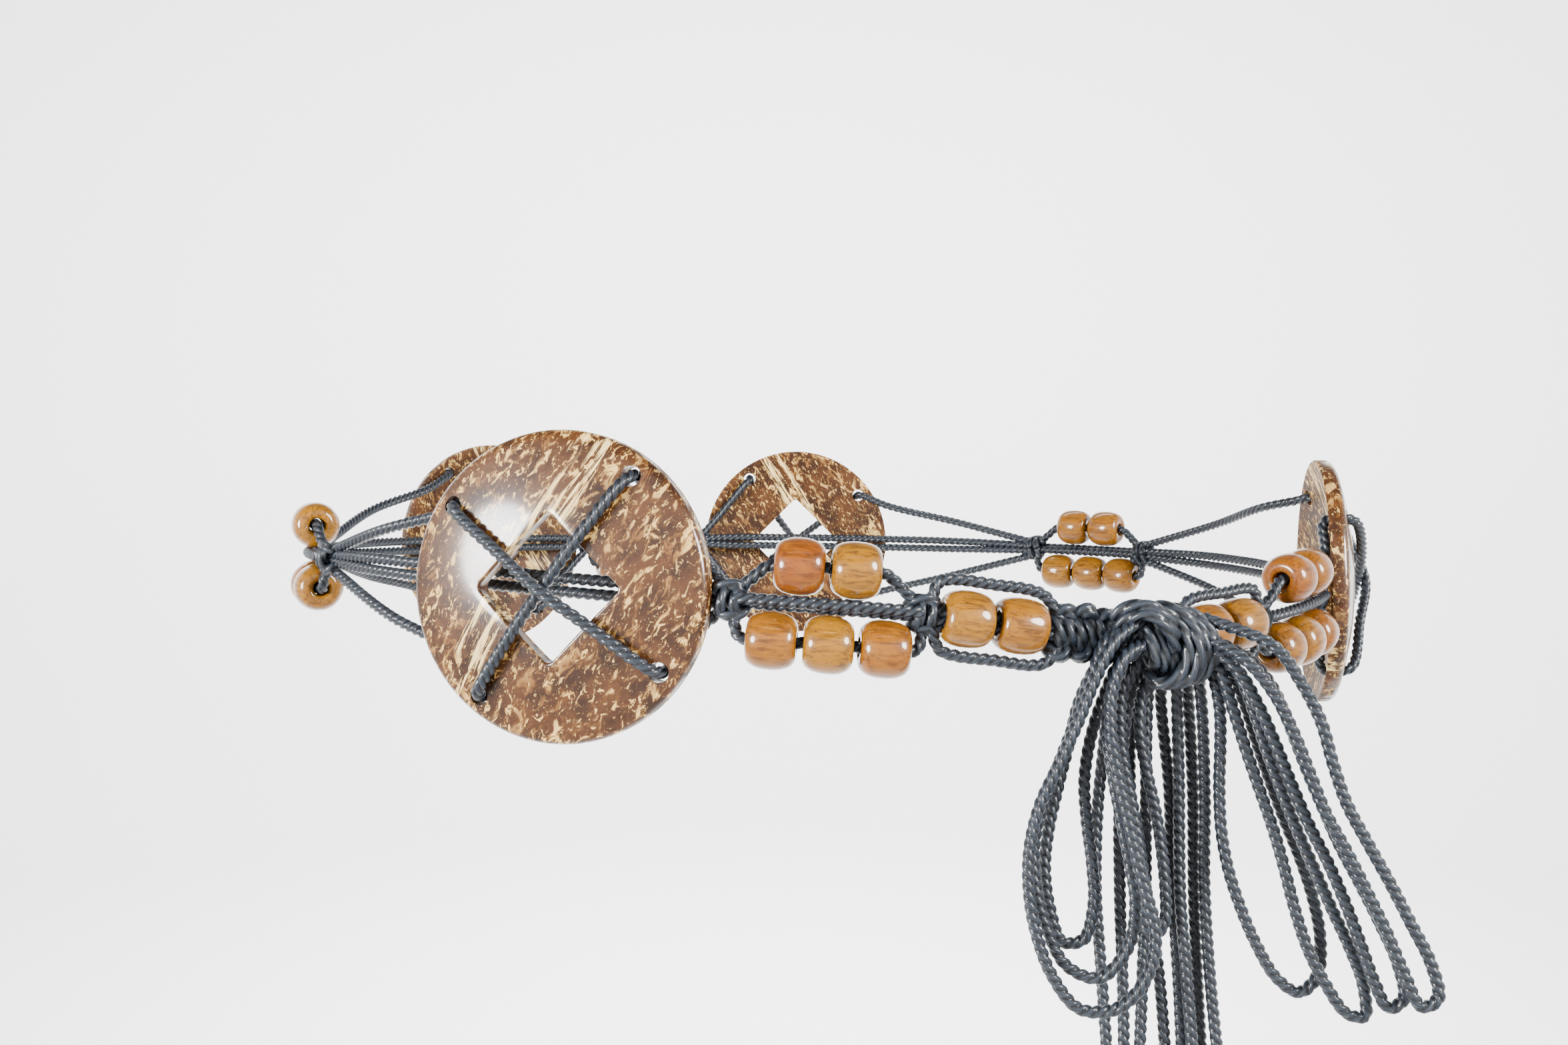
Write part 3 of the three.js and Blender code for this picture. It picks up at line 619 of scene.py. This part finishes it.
def square_knot(maker, along):
    """Two slanted wraps with a turn over and under them."""
    place = belt_frame(along)
    for x, lean in ((-1.15, -0.55), (1.05, -0.35)):
        maker.wrap(
            place, tilted_ring(x, lean, KNOT_HEIGHT * 0.33, KNOT_DEPTH * 0.31), share=0.88,
        )
    maker.wrap(place, edge_loop(-0.2, KNOT_LENGTH, KNOT_HEIGHT * 0.38, 1.15))
    maker.wrap(place, edge_loop(0.3, KNOT_LENGTH, -KNOT_HEIGHT * 0.38, 0.9))


def braid(maker, first, lumps):
    """A row of square knots: slanted bars across the middle with a turn at each edge."""
    for i in range(lumps):
        place = belt_frame(first + i * BRAID_PITCH)
        sign = 1 if i % 2 else -1
        half = BRAID_LUMP_HEIGHT / 2 - CORD_RADIUS
        for x, lean in ((-1.15, 0.6), (0.95, 0.3)):
            maker.wrap(place, tilted_ring(x, lean, half * 0.7, KNOT_DEPTH * 0.3), share=1.1)
        for x, edge, out in ((0.4, half + 0.35, 1.3), (-0.6, -half - 0.35, 1.2)):
            turn = edge_loop(x, BRAID_PITCH * 0.7, edge + 0.2 * sign, out)
            maker.wrap(place, turn, share=1.3)


# ---- Pieces ----


def place_object(name, data):
    thing = bpy.data.objects.new(name, data)
    bpy.context.scene.collection.objects.link(thing)
    return thing


def mesh_object(name, bm, material=None):
    """Puts a mesh into the scene, smooth and with its material where one is given."""
    mesh = bpy.data.meshes.new(name)
    bm.to_mesh(mesh)
    bm.free()
    if material is not None:
        mesh.shade_smooth()
        mesh.materials.append(material)
    return place_object(name, mesh)


def close_seams(bm, gap=0.001):
    """Merges the doubled edge of a turned or rolled-up mesh and points its faces outwards."""
    bmesh.ops.remove_doubles(bm, verts=bm.verts, dist=gap)
    bmesh.ops.recalc_face_normals(bm, faces=bm.faces)


def finish_piece(name, bm, material, nodes):
    """Puts a mesh made in millimetres into the scene, in place of the solids it stands for."""
    bmesh.ops.scale(bm, vec=(MM, MM, MM), verts=bm.verts)
    piece = mesh_object(name, bm, material)
    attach(piece, BODY)
    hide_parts(*nodes)
    return piece


def cord_piece(name, maker, node):
    bmesh.ops.recalc_face_normals(maker.bm, faces=maker.bm.faces)
    return finish_piece(name, maker.bm, waxed_cord(), [node])


# ---- Materials ----


class Shader:
    """A material's node tree, built one node at a time."""

    def __init__(self, name):
        self.material = bpy.data.materials.new(name)
        self.material.use_nodes = True
        self.tree = self.material.node_tree
        self.surface = self.tree.nodes["Principled BSDF"]

    def node(self, kind, inputs=None, **options):
        node = self.tree.nodes.new(kind)
        for option, value in options.items():
            setattr(node, option, value)
        for socket, value in (inputs or {}).items():
            self.feed(node, socket, value)
        return node

    def feed(self, node, socket, value):
        if isinstance(value, bpy.types.NodeSocket):
            self.tree.links.new(value, node.inputs[socket])
        else:
            node.inputs[socket].default_value = value

    def attribute(self, name, output="Fac"):
        return self.node("ShaderNodeAttribute", attribute_name=name).outputs[output]

    def math(self, operation, *values):
        node = self.node("ShaderNodeMath", dict(enumerate(values)), operation=operation)
        return node.outputs[0]

    def times(self, first, second):
        return self.math("MULTIPLY", first, second)

    def noise(self, vector, stretch, scale, detail=3.0, roughness=0.55, distortion=0.0):
        """Noise on the vector, which is stretched first where stretch isn't None."""
        if stretch is not None:
            vector = self.node(
                "ShaderNodeMapping", {"Vector": vector, "Scale": stretch},
            ).outputs["Vector"]
        return self.node("ShaderNodeTexNoise", {
            "Vector": vector, "Scale": scale, "Detail": detail, "Roughness": roughness,
            "Distortion": distortion,
        }).outputs["Fac"]

    def between(self, value, low, high, to_low=0.0, to_high=1.0):
        return self.node("ShaderNodeMapRange", {
            "Value": value, "From Min": low, "From Max": high, "To Min": to_low,
            "To Max": to_high,
        }, interpolation_type="SMOOTHSTEP").outputs["Result"]

    def mix(self, share, first, second):
        node = self.tree.nodes.new("ShaderNodeMix")
        node.data_type = "RGBA"
        for i, value in ((0, share), (6, first), (7, second)):
            is_colour = not isinstance(value, (float, bpy.types.NodeSocket))
            self.feed(node, i, (*value, 1) if is_colour else value)
        return node.outputs[2]

    def paint(self, base, colour, mask, strength):
        """The base with a colour laid over it where the mask is 1."""
        return self.mix(self.times(mask, strength), base, colour)

    def bump(self, height, strength, distance):
        inputs = {"Height": height, "Strength": strength, "Distance": distance}
        return self.node("ShaderNodeBump", inputs).outputs["Normal"]

    def finish(self, **sockets):
        for socket, value in sockets.items():
            self.feed(self.surface, socket.replace("_", " "), value)
        return self.material


def made_once(build):
    """Builds a material for the first piece that asks for it and keeps it for the others."""
    name = build.__name__.replace("_", " ").title()

    def material():
        return bpy.data.materials.get(name) or build(Shader(name))

    return material


@made_once
def waxed_cord(shader):
    """Three-ply cotton: fine fibres along each ply, painted shade in the grooves between the
    plies, painted highlights on the ply crests and pale waxed patches.
    """
    look = settings().cord
    uv = shader.node("ShaderNodeUVMap").outputs["UV"]
    around = shader.node("ShaderNodeSeparateXYZ", {"Vector": uv}).outputs["X"]
    crest = shader.math("ABSOLUTE", shader.math("SINE", shader.times(around, PLIES * pi)))
    fibres = shader.noise(uv, (26.0, 0.9, 1.0), 1.6, detail=4.0)
    strands = shader.noise(uv, (60.0, 1.6, 1.0), 1.5, detail=2.0)
    patches = shader.noise(uv, (5.0, 0.55, 1.0), 1.0)
    place = shader.node("ShaderNodeTexCoord").outputs["Object"]
    tone = shader.noise(place, None, 90.0, detail=2.0)
    # Painted highlight: pale fibres on the ply crests, where the lamps glint.
    lit = shader.times(shader.between(fibres, 0.42, 0.72), shader.between(crest, 0.25, 0.95))
    waxed = shader.times(shader.between(patches, 0.56, 0.74), shader.between(tone, 0.35, 0.65))
    # Painted shade: towards the grooves between the plies the colour goes over to the groove
    # colour.
    body = shader.mix(shader.between(crest, 0.1, 0.75), look.dark, look.colour)
    # Painted highlight: the waxed colour laid over the ply crests as glints.
    body = shader.paint(body, look.wax, lit, 0.4)
    body = shader.paint(body, look.wax, waxed, 0.5)
    height = shader.math("ADD", shader.times(fibres, 0.6), shader.times(strands, 0.4))
    return shader.finish(
        Base_Color=body,
        Roughness=shader.between(patches, 0.35, 0.7, 0.55, 0.3),
        Specular_IOR_Level=0.3,
        Coat_Weight=0.4,
        Coat_Roughness=0.16,
        Normal=shader.bump(height, 0.7, 0.0003),
    )


@made_once
def varnished_bead_wood(shader):
    """Amber wood with grain along the bore, small gouges and one tone to each bead."""
    look = settings().bead
    place = shader.attribute("grain", "Vector")
    lines = shader.noise(place, (0.16, 1.5, 1.5), 1.0, 5.0, 0.6, 0.5)
    fine = shader.noise(place, (0.5, 5.0, 5.0), 1.0)
    cloud = shader.noise(place, None, 0.35)
    gouges = shader.noise(place, (0.55, 2.4, 2.4), 0.9, 4.0, 0.6, 1.2)
    gouge = shader.between(gouges, 0.61, 0.68)
    base = shader.mix(shader.attribute("tone"), look.honey, look.amber)
    base = shader.paint(base, look.grain, shader.between(lines, 0.42, 0.68), 0.75)
    base = shader.paint(base, look.grain, shader.between(fine, 0.5, 0.8), 0.3)
    base = shader.paint(base, look.honey, shader.between(cloud, 0.45, 0.75), 0.35)
    base = shader.paint(base, look.grain, gouge, 0.75)
    dents = shader.math("SUBTRACT", shader.times(fine, 0.15), gouge)
    return shader.finish(
        Base_Color=base,
        Roughness=shader.between(fine, 0.3, 0.7, 0.3, 0.42),
        Specular_IOR_Level=0.15,
        Coat_Weight=0.8,
        Coat_Roughness=0.04,
        Normal=shader.bump(dents, 0.5, 0.00025),
    )


@made_once
def polished_coconut(shader):
    """Dark brown with cream flecks and long slanted streaks, varnished on the front."""
    look = settings().disc
    slant = shader.node("ShaderNodeVectorRotate", {
        "Vector": shader.attribute("grain", "Vector"), "Angle": -STREAK_SLANT,
    }, rotation_type="Z_AXIS").outputs["Vector"]
    cloud = shader.noise(slant, None, 0.16, 4.0, 0.6)
    cluster = shader.between(shader.noise(slant, None, 0.11, 2.0), 0.36, 0.6)
    islands = shader.noise(slant, (0.62, 1.2, 1.0), 0.42, 5.0, 0.6, 0.9)
    flecks = shader.noise(slant, (0.62, 1.2, 1.0), 0.8, 4.0, 0.6, 0.8)
    crumbs = shader.noise(slant, (0.8, 1.2, 1.0), 1.8, 3.0, 0.6, 0.8)
    wide = shader.times(shader.between(islands, 0.572, 0.615), cluster)
    small = shader.times(
        shader.between(flecks, 0.592, 0.64), shader.between(cluster, -0.6, 0.5),
    )
    base = shader.mix(shader.between(cloud, 0.35, 0.65), look.ground, look.husk)
    base = shader.paint(base, look.halo, shader.between(islands, 0.5, 0.62), 0.7)
    base = shader.paint(base, look.fleck, wide, 0.85)
    base = shader.paint(base, look.fleck, small, 0.85)
    base = shader.paint(base, look.fleck, shader.between(crumbs, 0.635, 0.69), 0.55)

    # Two bands of streaks, each given by its middle's place across the fibres and by the
    # distances from it, in millimetres, at which it starts and is full
    wander = shader.math("SUBTRACT", shader.noise(slant, (0.12, 0.3, 0.3), 1.0, 2.0), 0.5)
    across = shader.math("ADD", shader.attribute("streak"), shader.times(wander, 3.0))
    bands = shader.math("MAXIMUM", *(
        shader.between(shader.math("ABSOLUTE", shader.math("SUBTRACT", across, middle)), out, full)
        for middle, out, full in ((-2.1, 1.1, 0.5), (1.9, 1.8, 0.9))
    ))
    ends = shader.between(shader.noise(slant, (0.1, 0.25, 0.2), 1.0, 1.0), 0.36, 0.46)
    threads = shader.noise(slant, (0.07, 1.7, 0.5), 1.0, 4.0, 0.6, 0.4)
    streak = shader.times(shader.times(bands, ends), shader.between(threads, 0.46, 0.54))
    base = shader.paint(base, look.streak, streak, 0.95)

    polish = shader.attribute("polish")
    return shader.finish(
        Base_Color=base,
        Roughness=shader.between(polish, 0.1, 1, 0.62, 0.34),
        Specular_IOR_Level=0.15,
        Coat_Weight=shader.times(polish, 0.8),
        Coat_Roughness=shader.between(polish, 0.1, 1, 0.4, 0.12),
        Normal=shader.bump(shader.math("ADD", islands, flecks), 0.1, 0.0002),
    )


@made_once
def pale_backdrop(shader):
    return shader.finish(
        Base_Color=(*settings().stage.floor, 1), Roughness=0.9, Specular_IOR_Level=0.1,
    )


# ---- Operators ----


class StageOperator(Operator):
    """Sets up the camera, the pale floor and the soft studio light"""

    bl_idname = "rope_belt.stage"
    bl_label = "Stage"

    # In metres
    camera_place = (-0.0076, -0.3148, 0.012)
    floor_height = -0.6
    floor_reach = 2.3
    cove_radius = 0.8
    wall_height = 2.0
    belt_middle = (0, -0.04, -0.01)
    over_backdrop = (0, 2.8, 0)
    behind_camera = (0, -2.9, 0)

    def backdrop(self):
        """A round floor that runs up into a wall, seen from inside."""
        reach = self.floor_reach
        low = self.floor_height
        cove = bmesh.new()
        profile = [cove.verts.new((0, 0, low)), cove.verts.new((reach, 0, low))]
        cove.edges.new(profile)
        bend = bmesh.ops.spin(
            cove, geom=[profile[1]], cent=(reach, 0, low + self.cove_radius), axis=(0, -1, 0),
            angle=radians(90), steps=12,
        )["geom_last"]
        wall = bmesh.ops.extrude_vert_indiv(cove, verts=bend)["verts"]
        bmesh.ops.translate(cove, verts=wall, vec=(0, 0, self.wall_height))
        bmesh.ops.spin(
            cove, geom=cove.verts[:] + cove.edges[:], cent=(0, 0, 0), axis=(0, 0, 1),
            angle=2 * pi, steps=72, use_merge=True,
        )
        close_seams(cove, gap=0.0001)
        bmesh.ops.reverse_faces(cove, faces=cove.faces)
        backdrop = mesh_object("backdrop", cove, pale_backdrop())

    def execute(self, context):
        look = settings().stage
        camera = place_object("Camera", bpy.data.cameras.new("Camera"))
        camera.data.lens = look.lens
        camera.data.sensor_width = 36
        camera.data.clip_start = 0.01
        camera.location = self.camera_place
        camera.rotation_euler = (radians(90), 0, 0)
        context.scene.camera = camera

        self.backdrop()
        side = look.lamp_power
        fill = look.fill_power
        for name, place, target, size, spread, power in (
            ("lamp_left", (-0.69, -0.56, 0.08), self.belt_middle, 0.36, 80, side),
            ("lamp_right", (0.66, -0.5, 0.24), self.belt_middle, 0.36, 80, side * 0.8),
            ("lamp_back", (0, 0.7, 1.2), self.over_backdrop, 1.2, 180, fill),
            ("lamp_front", (0, -0.9, 1.3), self.behind_camera, 1.2, 180, fill * 0.2),
        ):
            light = bpy.data.lights.new(name, "AREA")
            light.shape = "DISK"
            light.size = size
            light.spread = radians(spread)
            light.energy = power
            lamp = place_object(name, light)
            lamp.location = place
            aim = Vector(target) - Vector(place)
            lamp.rotation_euler = aim.to_track_quat("-Z", "Y").to_euler()

        world = bpy.data.worlds.new("Soft Room")
        world.use_nodes = True
        background = world.node_tree.nodes["Background"]
        background.inputs["Color"].default_value = (1.0, 0.985, 0.965, 1)
        background.inputs["Strength"].default_value = 0.3
        context.scene.world = world
        return {"FINISHED"}


class BowOperator(Operator):
    """Ties the bow: the wrapped knot, its loops and its loose ends"""

    bl_idname = "rope_belt.bow"
    bl_label = "Bow"

    # In millimetres, in the frame of the knot. Wraps: place along the belt, bulge, half height
    # and half depth. Rings fill the knot under the wraps.
    wraps = (
        (-2.6, 5.0, 6.6, 3.2), (-0.4, 4.4, 6.9, 4.2), (1.3, 4.4, 6.5, 3.9), (2.5, 4.7, 6.4, 4.3),
        (4.2, 3.9, 5.5, 2.9),
    )
    arches = (
        [
            (-9.6, 4.2, -2.4), (-8.6, 5.7, -0.6), (-6.6, 6.5, 1.4), (-4.5, 5.9, 2.7),
            (-2.7, 4.4, 3.2), (-0.9, 2.6, 3.0), (0.6, 0.6, 2.0),
        ],
        [
            (-8.9, 2.6, -2.2), (-7.6, 4.2, 0.0), (-5.8, 4.9, 2.1), (-4.1, 4.0, 3.3),
            (-2.4, 2.4, 3.5), (-0.7, 0.4, 2.9), (0.6, -1.6, 1.8),
        ],
    )
    rings = (-3.4, -1.4, 0.7, 2.8, 4.9)
    drop = -0.9  # of the knot's middle under the belt line

    def free_cord(self, node, row, seed, is_loop):
        depth, points = row
        last = len(points) - 1
        spots = [
            Vector((x, KNOT_Y if i == 0 or (is_loop and i == last) else depth, z))
            for i, (x, z) in enumerate(points)
        ]
        maker = CordMaker(seed)
        line = [spot * MM for spot in maker.cord(spots, tips=True)]
        piece = cord_piece(f"{node}_cord", maker, node)

    def execute(self, context):
        for kind, rows, seed in (("loop", LOOPS, 100), ("tail", TAILS, 200)):
            for i, (name, row) in enumerate(rows.items()):
                self.free_cord(f"bow_{kind}_{name}", row, seed + i, kind == "loop")
        self.knot()
        return {"FINISHED"}

    def knot(self):
        maker = CordMaker(300)
        seat = KNOT_DEPTH / 2 + CLEARANCE + BOW_DEPTH / 2
        place = belt_frame(BOW_ALONG) @ Matrix.Translation((0, 0, seat))
        for x, bulge, half_height, half_depth in self.wraps:
            maker.wrap(
                place,
                tilted_ring(x, 0.8, half_height, half_depth, bow=bulge, lift=self.drop, step=20),
            )
        for arch in self.arches:
            maker.wrap(place, arch)
        for x in self.rings:
            maker.wrap(place, tilted_ring(x, 0.9, 3.9 - 0.05 * x * x, 1.0, lift=self.drop))
        cord_piece("bow_knot_wraps", maker, "bow_knot")


class CordRunsOperator(Operator):
    """Twists the belt's four cords and ties the knots between the beads"""

    bl_idname = "rope_belt.cord_runs"
    bl_label = "Cord runs"

    def run(self, name, seed, routes, knot, first_lump=0, lumps=0):
        maker = CordMaker(seed)
        for points in routes:
            maker.cord(points)
        square_knot(maker, knot)
        braid(maker, first_lump, lumps)
        cord_piece(f"{name}_twisted", maker, name)

    def execute(self, context):
        to_knot = PAIR_REACH + HALF_KNOT - KNOT_ENTRY
        to_braid = PAIR_REACH + BRAID_LUMP_LENGTH / 2
        self.run(
            "left_end_cords", 1, pair_routes(FRONT_PAIR, to_knot, to_braid),
            FRONT_PAIR - PAIR_REACH - HALF_KNOT, FRONT_PAIR + to_braid, BRAID_LUMPS_LEFT,
        )
        self.run(
            "right_end_cords", 2,
            pair_routes(SIDE_PAIR, to_braid, to_knot) + group_routes(SIDE_GROUP),
            SIDE_GROUP - GROUP_REACH,
            BOW_ALONG + CLEARANCE / 2 + BRAID_LUMP_LENGTH / 2, BRAID_LUMPS_RIGHT,
        )
        for seed, name in enumerate(("front", "left", "back", "right")):
            centre = GROUPS[name]
            self.run(f"{name}_group_cords", 10 + seed, group_routes(centre), centre - GROUP_REACH)
        for seed, (name, group) in enumerate((
            ("front", LEFT_GROUP), ("left", BACK_GROUP), ("back", RIGHT_GROUP),
            ("side", SIDE_GROUP),
        )):
            self.run(f"{name}_disc_cords", 20 + seed, disc_routes(name), group + GROUP_REACH)
        return {"FINISHED"}


class BeadsOperator(Operator):
    """Turns the wooden beads, each a little different, and threads them on the cords"""

    bl_idname = "rope_belt.beads"
    bl_label = "Beads"

    slices = 40
    crown_steps = 16
    crown_turn = radians(78)  # from the bead's waist to the last step of its crown
    lip = 0.35  # from the bore's edge to the crown, in millimetres
    wear = 0.16  # deepest hollow in a bead's surface, in millimetres

    def bead(self, node, along, rise, bore):
        name = f"{node}_wood"
        rng = random.Random(name)
        look = settings().bead
        radius = look.diameter / MM / 2 * rng.uniform(0.985, 1.0)
        half = look.length / MM / 2 * rng.uniform(0.97, 1.0)
        bm = bmesh.new()
        crown = []
        lip = bore + self.lip
        for i in range(self.crown_steps + 1):
            angle = self.crown_turn * (2 * i / self.crown_steps - 1)
            x = half * copysign(abs(sin(angle)) ** 0.88, angle)
            crown.append((x, lip + (radius - lip) * cos(angle) ** 0.68))
        section = [(-half * 0.97, bore + 0.3), *crown, (half * 0.97, bore + 0.3)]
        section += [(half * 0.86, bore), (-half * 0.86, bore)]
        verts = [bm.verts.new((x, 0, r)) for x, r in section]
        edges = [bm.edges.new((a, b)) for a, b in zip(verts, verts[1:] + verts[:1])]
        bmesh.ops.spin(
            bm, geom=verts + edges, cent=(0, 0, 0), axis=(1, 0, 0), angle=2 * pi,
            steps=self.slices, use_merge=True,
        )
        close_seams(bm)
        shift = Vector((rng.uniform(-50, 50), rng.uniform(-50, 50), rng.uniform(-50, 50)))
        grain = bm.verts.layers.float_vector.new("grain")
        tone = bm.verts.layers.float.new("tone")
        own_tone = rng.random() ** 1.2
        for vert in bm.verts:
            vert[grain] = vert.co + shift
            vert[tone] = own_tone
            if hypot(vert.co.y, vert.co.z) > bore + 0.5:
                hollow = (1 + noise.noise(vert.co * 0.28 + shift)) / 2
                vert.co -= vert.normal * self.wear * hollow
        left = belt_point(along - half, rise, BEAD_SEAT)
        right = belt_point(along + half, rise, BEAD_SEAT)
        turn = Vector((1, 0, 0)).rotation_difference(right - left).to_matrix().to_4x4()
        spun = Matrix.Rotation(rng.uniform(0, 2 * pi), 4, "X")
        bmesh.ops.transform(
            bm, verts=bm.verts, matrix=Matrix.Translation((left + right) / 2) @ turn @ spun,
        )
        finish_piece(name, bm, varnished_bead_wood(), [node])

    def execute(self, context):
        row_bore = CORD_RADIUS + BORE_CLEARANCE
        pair_bore = CORD_RADIUS * sqrt(2) + BORE_CLEARANCE
        rows = []
        for name, centre in GROUPS.items():
            rows.append((f"{name}_bead_upper", centre, (-0.5, 0.5), ROW_RISE, row_bore))
            rows.append((f"{name}_bead_lower", centre, (-1, 0, 1), -ROW_RISE, row_bore))
        for name, centre in (("front", FRONT_PAIR), ("side", SIDE_PAIR)):
            rows.append((f"{name}_pair_bead", centre, (-0.5, 0.5), 0, pair_bore))
        for row, centre, steps, rise, bore in rows:
            for i, step in enumerate(steps):
                self.bead(f"{row}_{i + 1}", centre + step * BEAD_PITCH, rise, bore)
        return {"FINISHED"}


class DiscsOperator(Operator):
    """Cuts the coconut discs, with a square window and four lacing holes in each"""

    bl_idname = "rope_belt.discs"
    bl_label = "Discs"

    columns = 144
    rows = 12  # across each face, between window and rim
    fillet = 0.5
    rim_fillet = 1.1
    corner_radius = 1.3  # of the window
    crowding = 0.19  # of the columns towards the window's corners
    back_polish = 0.12  # of the inner face and the walls, beside 1 on the front

    def window_edge(self, angle):
        """Distance from the disc's middle to the edge of its window, whose corners are rounded."""
        reach = settings().disc.window / MM / sqrt(2)
        radius = self.corner_radius
        near = (angle + pi / 4) % (pi / 2) - pi / 4
        corner = reach - radius * sqrt(2)
        touch = atan2(radius / sqrt(2), corner + radius / sqrt(2))
        if abs(near) < touch:
            return corner * cos(near) + sqrt(radius**2 - (corner * sin(near)) ** 2)
        return reach / (abs(cos(near)) + abs(sin(near)))

    def section(self, thickness):
        """Stations round the wall of the disc: share from window to rim, inset, height."""
        f = self.fillet
        r = self.rim_fillet
        arc = [radians(22.5 * k) for k in range(5)]
        window_front = [(0, f - f * cos(a), thickness - f + f * sin(a)) for a in arc]
        rim_front = [(1, r - r * sin(a), thickness - r + r * cos(a)) for a in arc]
        front = [(k / self.rows, None, thickness) for k in range(1, self.rows)]
        rim_back = [(1, f - f * cos(a), f - f * sin(a)) for a in arc]
        back = [(k / self.rows, None, 0) for k in range(self.rows - 1, 0, -1)]
        window_back = [(0, f - f * sin(a), f - f * cos(a)) for a in arc]
        return [*window_front, *front, *rim_front, *rim_back, *back, *window_back]

    def disc(self, name, seed):
        look = settings().disc
        rng = random.Random(seed)
        radius = look.diameter / MM / 2
        stations = self.section(look.thickness / MM)
        count = len(stations)
        bm = bmesh.new()
        grid = bmesh.ops.create_grid(bm, x_segments=self.columns, y_segments=count, size=0.5)
        for vert in grid["verts"]:
            even = (vert.co.x + 0.5) * 2 * pi
            angle = even - self.crowding * sin(4 * even)
            share, inset, height = stations[round((vert.co.y + 0.5) * count) % count]
            edge = self.window_edge(angle)
            if inset is None:
                width = radius - edge - self.fillet - self.rim_fillet
                reach = edge + self.fillet + width * share
            else:
                reach = radius - inset if share else edge + inset
            vert.co = (reach * cos(angle), reach * sin(angle), dome(reach) + height)
        close_seams(bm)
        plate = self.drilled(bm)
        grain = plate.verts.layers.float_vector.new("grain")
        streak = plate.verts.layers.float.new("streak")
        polish = plate.verts.layers.float.new("polish")
        shift = Vector((rng.uniform(-300, 300), rng.uniform(-300, 300), 0))
        band = -6.9 if name == "front" else rng.uniform(-16, 16)
        across = Vector((sin(STREAK_SLANT), -cos(STREAK_SLANT), 0))
        for vert in plate.verts:
            vert[grain] = vert.co + shift
            vert[streak] = vert.co.dot(across) - band
            height = vert.co.z - dome(vert.co.xy.length)
            vert[polish] = 1 if height > stations[0][2] * 0.8 else self.back_polish
        along, turn, lift, _, _ = DISCS[name]
        bmesh.ops.transform(plate, verts=plate.verts, matrix=disc_frame(along, turn, lift))
        piece = finish_piece(
            f"{name}_disc_plate", plate, polished_coconut(), [f"{name}_disc"],
        )
        piece.data.set_sharp_from_angle(angle=radians(50))

    def drilled(self, bm):
        """The disc with its four lacing holes cut through."""
        plate = mesh_object("disc_blank", bm)
        drills = bmesh.new()
        radius = CORD_RADIUS + LACE_HOLE_CLEARANCE
        for way, level in ((1, 1), (-1, 1), (-1, -1), (1, -1)):
            middle = lace_hole(way, level)
            drill = bmesh.ops.create_cone(
                drills, cap_ends=True, segments=28, radius1=radius, radius2=radius, depth=30,
            )["verts"]
            bmesh.ops.translate(drills, verts=drill, vec=(middle.x, middle.y, 0))
        cutter = mesh_object("disc_drills", drills)
        cut = plate.modifiers.new("holes", "BOOLEAN")
        cut.operation = "DIFFERENCE"
        cut.solver = "EXACT"
        cut.object = cutter
        result = bmesh.new()
        result.from_object(plate, bpy.context.evaluated_depsgraph_get())
        for helper in (plate, cutter):
            mesh = helper.data
            bpy.data.objects.remove(helper)
            bpy.data.meshes.remove(mesh)
        return result

    def execute(self, context):
        for seed, name in enumerate(DISCS):
            self.disc(name, 40 + seed)
        return {"FINISHED"}


class RopeBeltPanel(Panel):
    bl_idname = "VIEW3D_PT_rope_belt"
    bl_label = "Rope Belt"
    bl_space_type = "VIEW_3D"
    bl_region_type = "UI"
    bl_category = "Rope Belt"

    def draw(self, context):
        belt = context.scene.rope_belt
        for operator, group in (
            (StageOperator, belt.stage), (BowOperator, belt.cord), (CordRunsOperator, None),
            (BeadsOperator, belt.bead), (DiscsOperator, belt.disc),
        ):
            box = self.layout.box()
            box.label(text=operator.bl_label)
            if group is not None:
                for name in group.__annotations__:
                    box.prop(group, name)
            box.operator(operator.bl_idname)


CLASSES = (
    CordSettings, BeadSettings, DiscSettings, StageSettings, BeltSettings, StageOperator,
    BowOperator, CordRunsOperator, BeadsOperator, DiscsOperator, RopeBeltPanel,
)


def register():
    for cls in CLASSES:
        bpy.utils.register_class(cls)
    bpy.types.Scene.rope_belt = PointerProperty(type=BeltSettings)


def unregister():
    del bpy.types.Scene.rope_belt
    for cls in reversed(CLASSES):
        bpy.utils.unregister_class(cls)


def main():
    register()
    bpy.ops.rope_belt.stage()
    bpy.ops.rope_belt.bow()
    bpy.ops.rope_belt.cord_runs()
    bpy.ops.rope_belt.beads()
    bpy.ops.rope_belt.discs()


if __name__ == "__main__":
    main()
